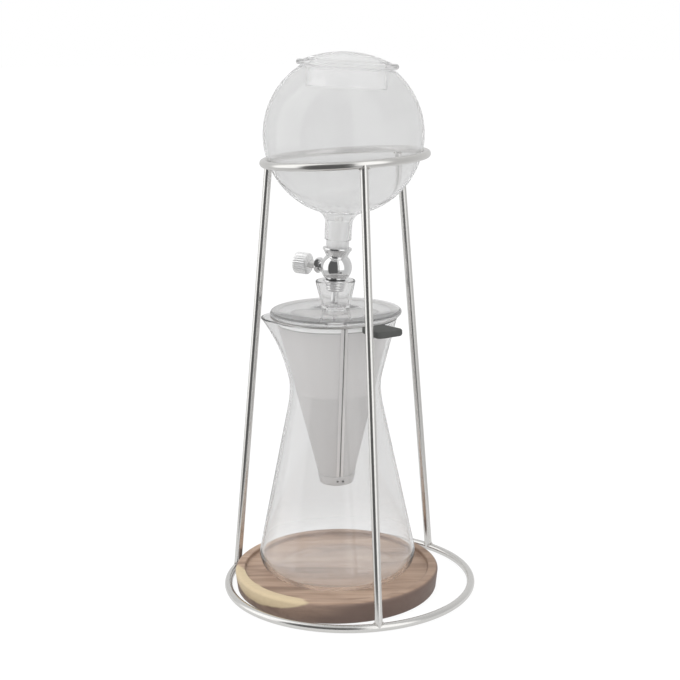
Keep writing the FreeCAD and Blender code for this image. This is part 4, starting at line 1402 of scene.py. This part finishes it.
KEY_PLACE = (-0.5, -0.4, 1.4)
KEY_AIM = (0, 0, 0.2)


def add_camera(scene, look):
    ahead = Vector((math.sin(look.yaw) * math.cos(look.pitch), math.cos(look.yaw) * math.cos(look.pitch),
                    -math.sin(look.pitch)))
    across = ahead.cross(Vector((0, 0, 1))).normalized()
    down = ahead.cross(across)
    right = math.cos(look.roll) * across + math.sin(look.roll) * down
    up = math.sin(look.roll) * across - math.cos(look.roll) * down
    data = bpy.data.cameras.new("Camera")
    data.sensor_width = SENSOR_WIDTH
    data.lens = look.focal / PICTURE_SIDE * SENSOR_WIDTH
    camera = link_piece("Camera", data)
    axes = Matrix((right, up, -ahead)).transposed()
    camera.matrix_world = Matrix.Translation((0, -look.distance, look.height)) @ axes.to_4x4()
    scene.camera = camera


def add_floor():
    """A white floor that the eye sees as white, and that still keeps a faint shadow."""
    side = FLOOR_SIDE / 2
    mesh = bpy.data.meshes.new("floor")
    corners = [(-side, -side, 0), (side, -side, 0), (side, side, 0), (-side, side, 0)]
    mesh.from_pydata(corners, [], [(0, 1, 2, 3)])
    floor = link_piece("floor", mesh)
    material = bpy.data.materials.new("White Floor")
    material.use_nodes = True
    nodes = Nodes(material.node_tree)
    seen, mirrored, _ = seen_rays(nodes)
    paper = nodes.add("ShaderNodeBsdfDiffuse", {}, {"Color": FLOOR_COLOUR})
    white = nodes.add("ShaderNodeEmission", {}, {
        "Color": (1, 1, 1, 1), "Strength": FLOOR_WHITE + mirrored * (TABLE_STRENGTH - FLOOR_WHITE)})
    x, y, _ = nodes.split(nodes.add("ShaderNodeTexCoord", output="Object"))
    beyond = mirrored * from_axis(x, y).step(*TABLE_REACH)
    clear = nodes.add("ShaderNodeBsdfTransparent")
    table = nodes.mix(beyond, nodes.mix(FLOOR_GLOW * seen, paper, white), clear)
    nodes.add("ShaderNodeOutputMaterial", {}, {"Surface": table})
    mesh.materials.append(material)


def seen_rays(nodes):
    """1 for rays that show the background, then for those by mirror, then for those through glass."""
    camera, mirrored, through = nodes.rays("Camera", "Glossy", "Transmission")
    return (camera + mirrored + through).math("MINIMUM", 1.0), mirrored, through


def add_world(scene, look):
    """Plain light from all round. Mirrors see softboxes either side of a dark gap."""
    world = bpy.data.worlds.new("Studio")
    world.use_nodes = True
    scene.world = world
    nodes = Nodes(world.node_tree)
    seen, mirrored, through = seen_rays(nodes)
    x, y, z = nodes.split(nodes.add("ShaderNodeTexCoord", output="Generated"))
    facing = x.math("ARCTAN2", -1 * y) * (360 / TURN)
    rise = z.math("ARCSINE") * (360 / TURN)
    gap = between(facing, BOX_LEFT[1], BOX_RIGHT[0]) * between(rise, *GAP_HEIGHT)
    gap = gap * (1 - GLASS_CLEARS * through)
    boxes = (between(facing, *BOX_LEFT) + between(facing, *BOX_RIGHT)) * between(rise, *BOX_HEIGHT)
    room = SIDE_STRENGTH + (BACK_STRENGTH - SIDE_STRENGTH) * abs(facing).step(*BACK_SPAN)
    room = room + gap * (GAP_STRENGTH - room)
    room = room + boxes * (BOX_STRENGTH - room)
    sky = look.ambient * (SKY[0] + SKY[1] * z.math("MAXIMUM", 0.0))
    strength = seen + mirrored * (room - 1) + (1 - seen) * sky
    nodes.add("ShaderNodeOutputWorld", {}, {"Surface": nodes.add(
        "ShaderNodeBackground", {}, {"Color": (1, 1, 1, 1), "Strength": strength})})


def between(angle, low, high):
    """1 between two angles in degrees, ending softly."""
    return angle.step(low - EDGE, low + EDGE) * (1 - angle.step(high - EDGE, high + EDGE))


def add_key(look):
    """A large softbox above and to the left."""
    data = bpy.data.lights.new("Key", "AREA")
    data.shape = "RECTANGLE"
    data.size, data.size_y = KEY_SIZE
    data.energy = look.key_power
    key = link_piece("Key", data)
    spot = Vector(KEY_PLACE)
    turn = (Vector(KEY_AIM) - spot).to_track_quat("-Z", "Y")
    key.matrix_world = Matrix.Translation(spot) @ turn.to_matrix().to_4x4()
    key.visible_glossy = False
    key.visible_transmission = False
    key.visible_camera = False


class TOWER_OT_stage(bpy.types.Operator):
    """Set up the camera, the white floor and the soft studio light"""
    bl_idname = "drip_tower.stage"
    bl_label = "Stage"

    def execute(self, context):
        look = context.scene.drip_stage
        add_camera(context.scene, look)
        add_floor()
        add_world(context.scene, look)
        add_key(look)
        context.scene.view_settings.view_transform = "Standard"
        return {"FINISHED"}


# --- Panel and registration
SETTINGS = {
    "drip_stand": StandSizes,
    "drip_coaster": CoasterLook,
    "drip_glass": GlassLook,
    "drip_filter": FilterLook,
    "drip_valve": ValveSizes,
    "drip_stage": StageLook,
}
OPERATORS = (TOWER_OT_stage, TOWER_OT_stand, TOWER_OT_coaster, TOWER_OT_carafe, TOWER_OT_filter,
             TOWER_OT_handle, TOWER_OT_lid, TOWER_OT_globe, TOWER_OT_globe_lid, TOWER_OT_stopper,
             TOWER_OT_valve, TOWER_OT_knob, TOWER_OT_outlet, TOWER_OT_inner_parts)


class TOWER_PT_panel(bpy.types.Panel):
    """The pieces of the tower and what can be changed on them"""
    bl_idname = "TOWER_PT_panel"
    bl_label = "Cold Drip Tower"
    bl_space_type = "VIEW_3D"
    bl_region_type = "UI"
    bl_category = "Drip Tower"

    def draw(self, context):
        for operator in OPERATORS:
            self.layout.operator(operator.bl_idname)
        for name, group in SETTINGS.items():
            box = self.layout.box()
            box.label(text=group.__name__)
            for field in group.__annotations__:
                box.prop(getattr(context.scene, name), field)


def register():
    for group in (*SETTINGS.values(), *OPERATORS, TOWER_PT_panel):
        bpy.utils.register_class(group)
    for name, group in SETTINGS.items():
        setattr(bpy.types.Scene, name, PointerProperty(type=group))


def unregister():
    for name in SETTINGS:
        delattr(bpy.types.Scene, name)
    for group in (TOWER_PT_panel, *OPERATORS[::-1], *SETTINGS.values()):
        bpy.utils.unregister_class(group)


def main():
    register()
    for operator in OPERATORS:
        getattr(bpy.ops.drip_tower, operator.bl_idname.split(".")[1])()


if __name__ == "__main__":
    main()
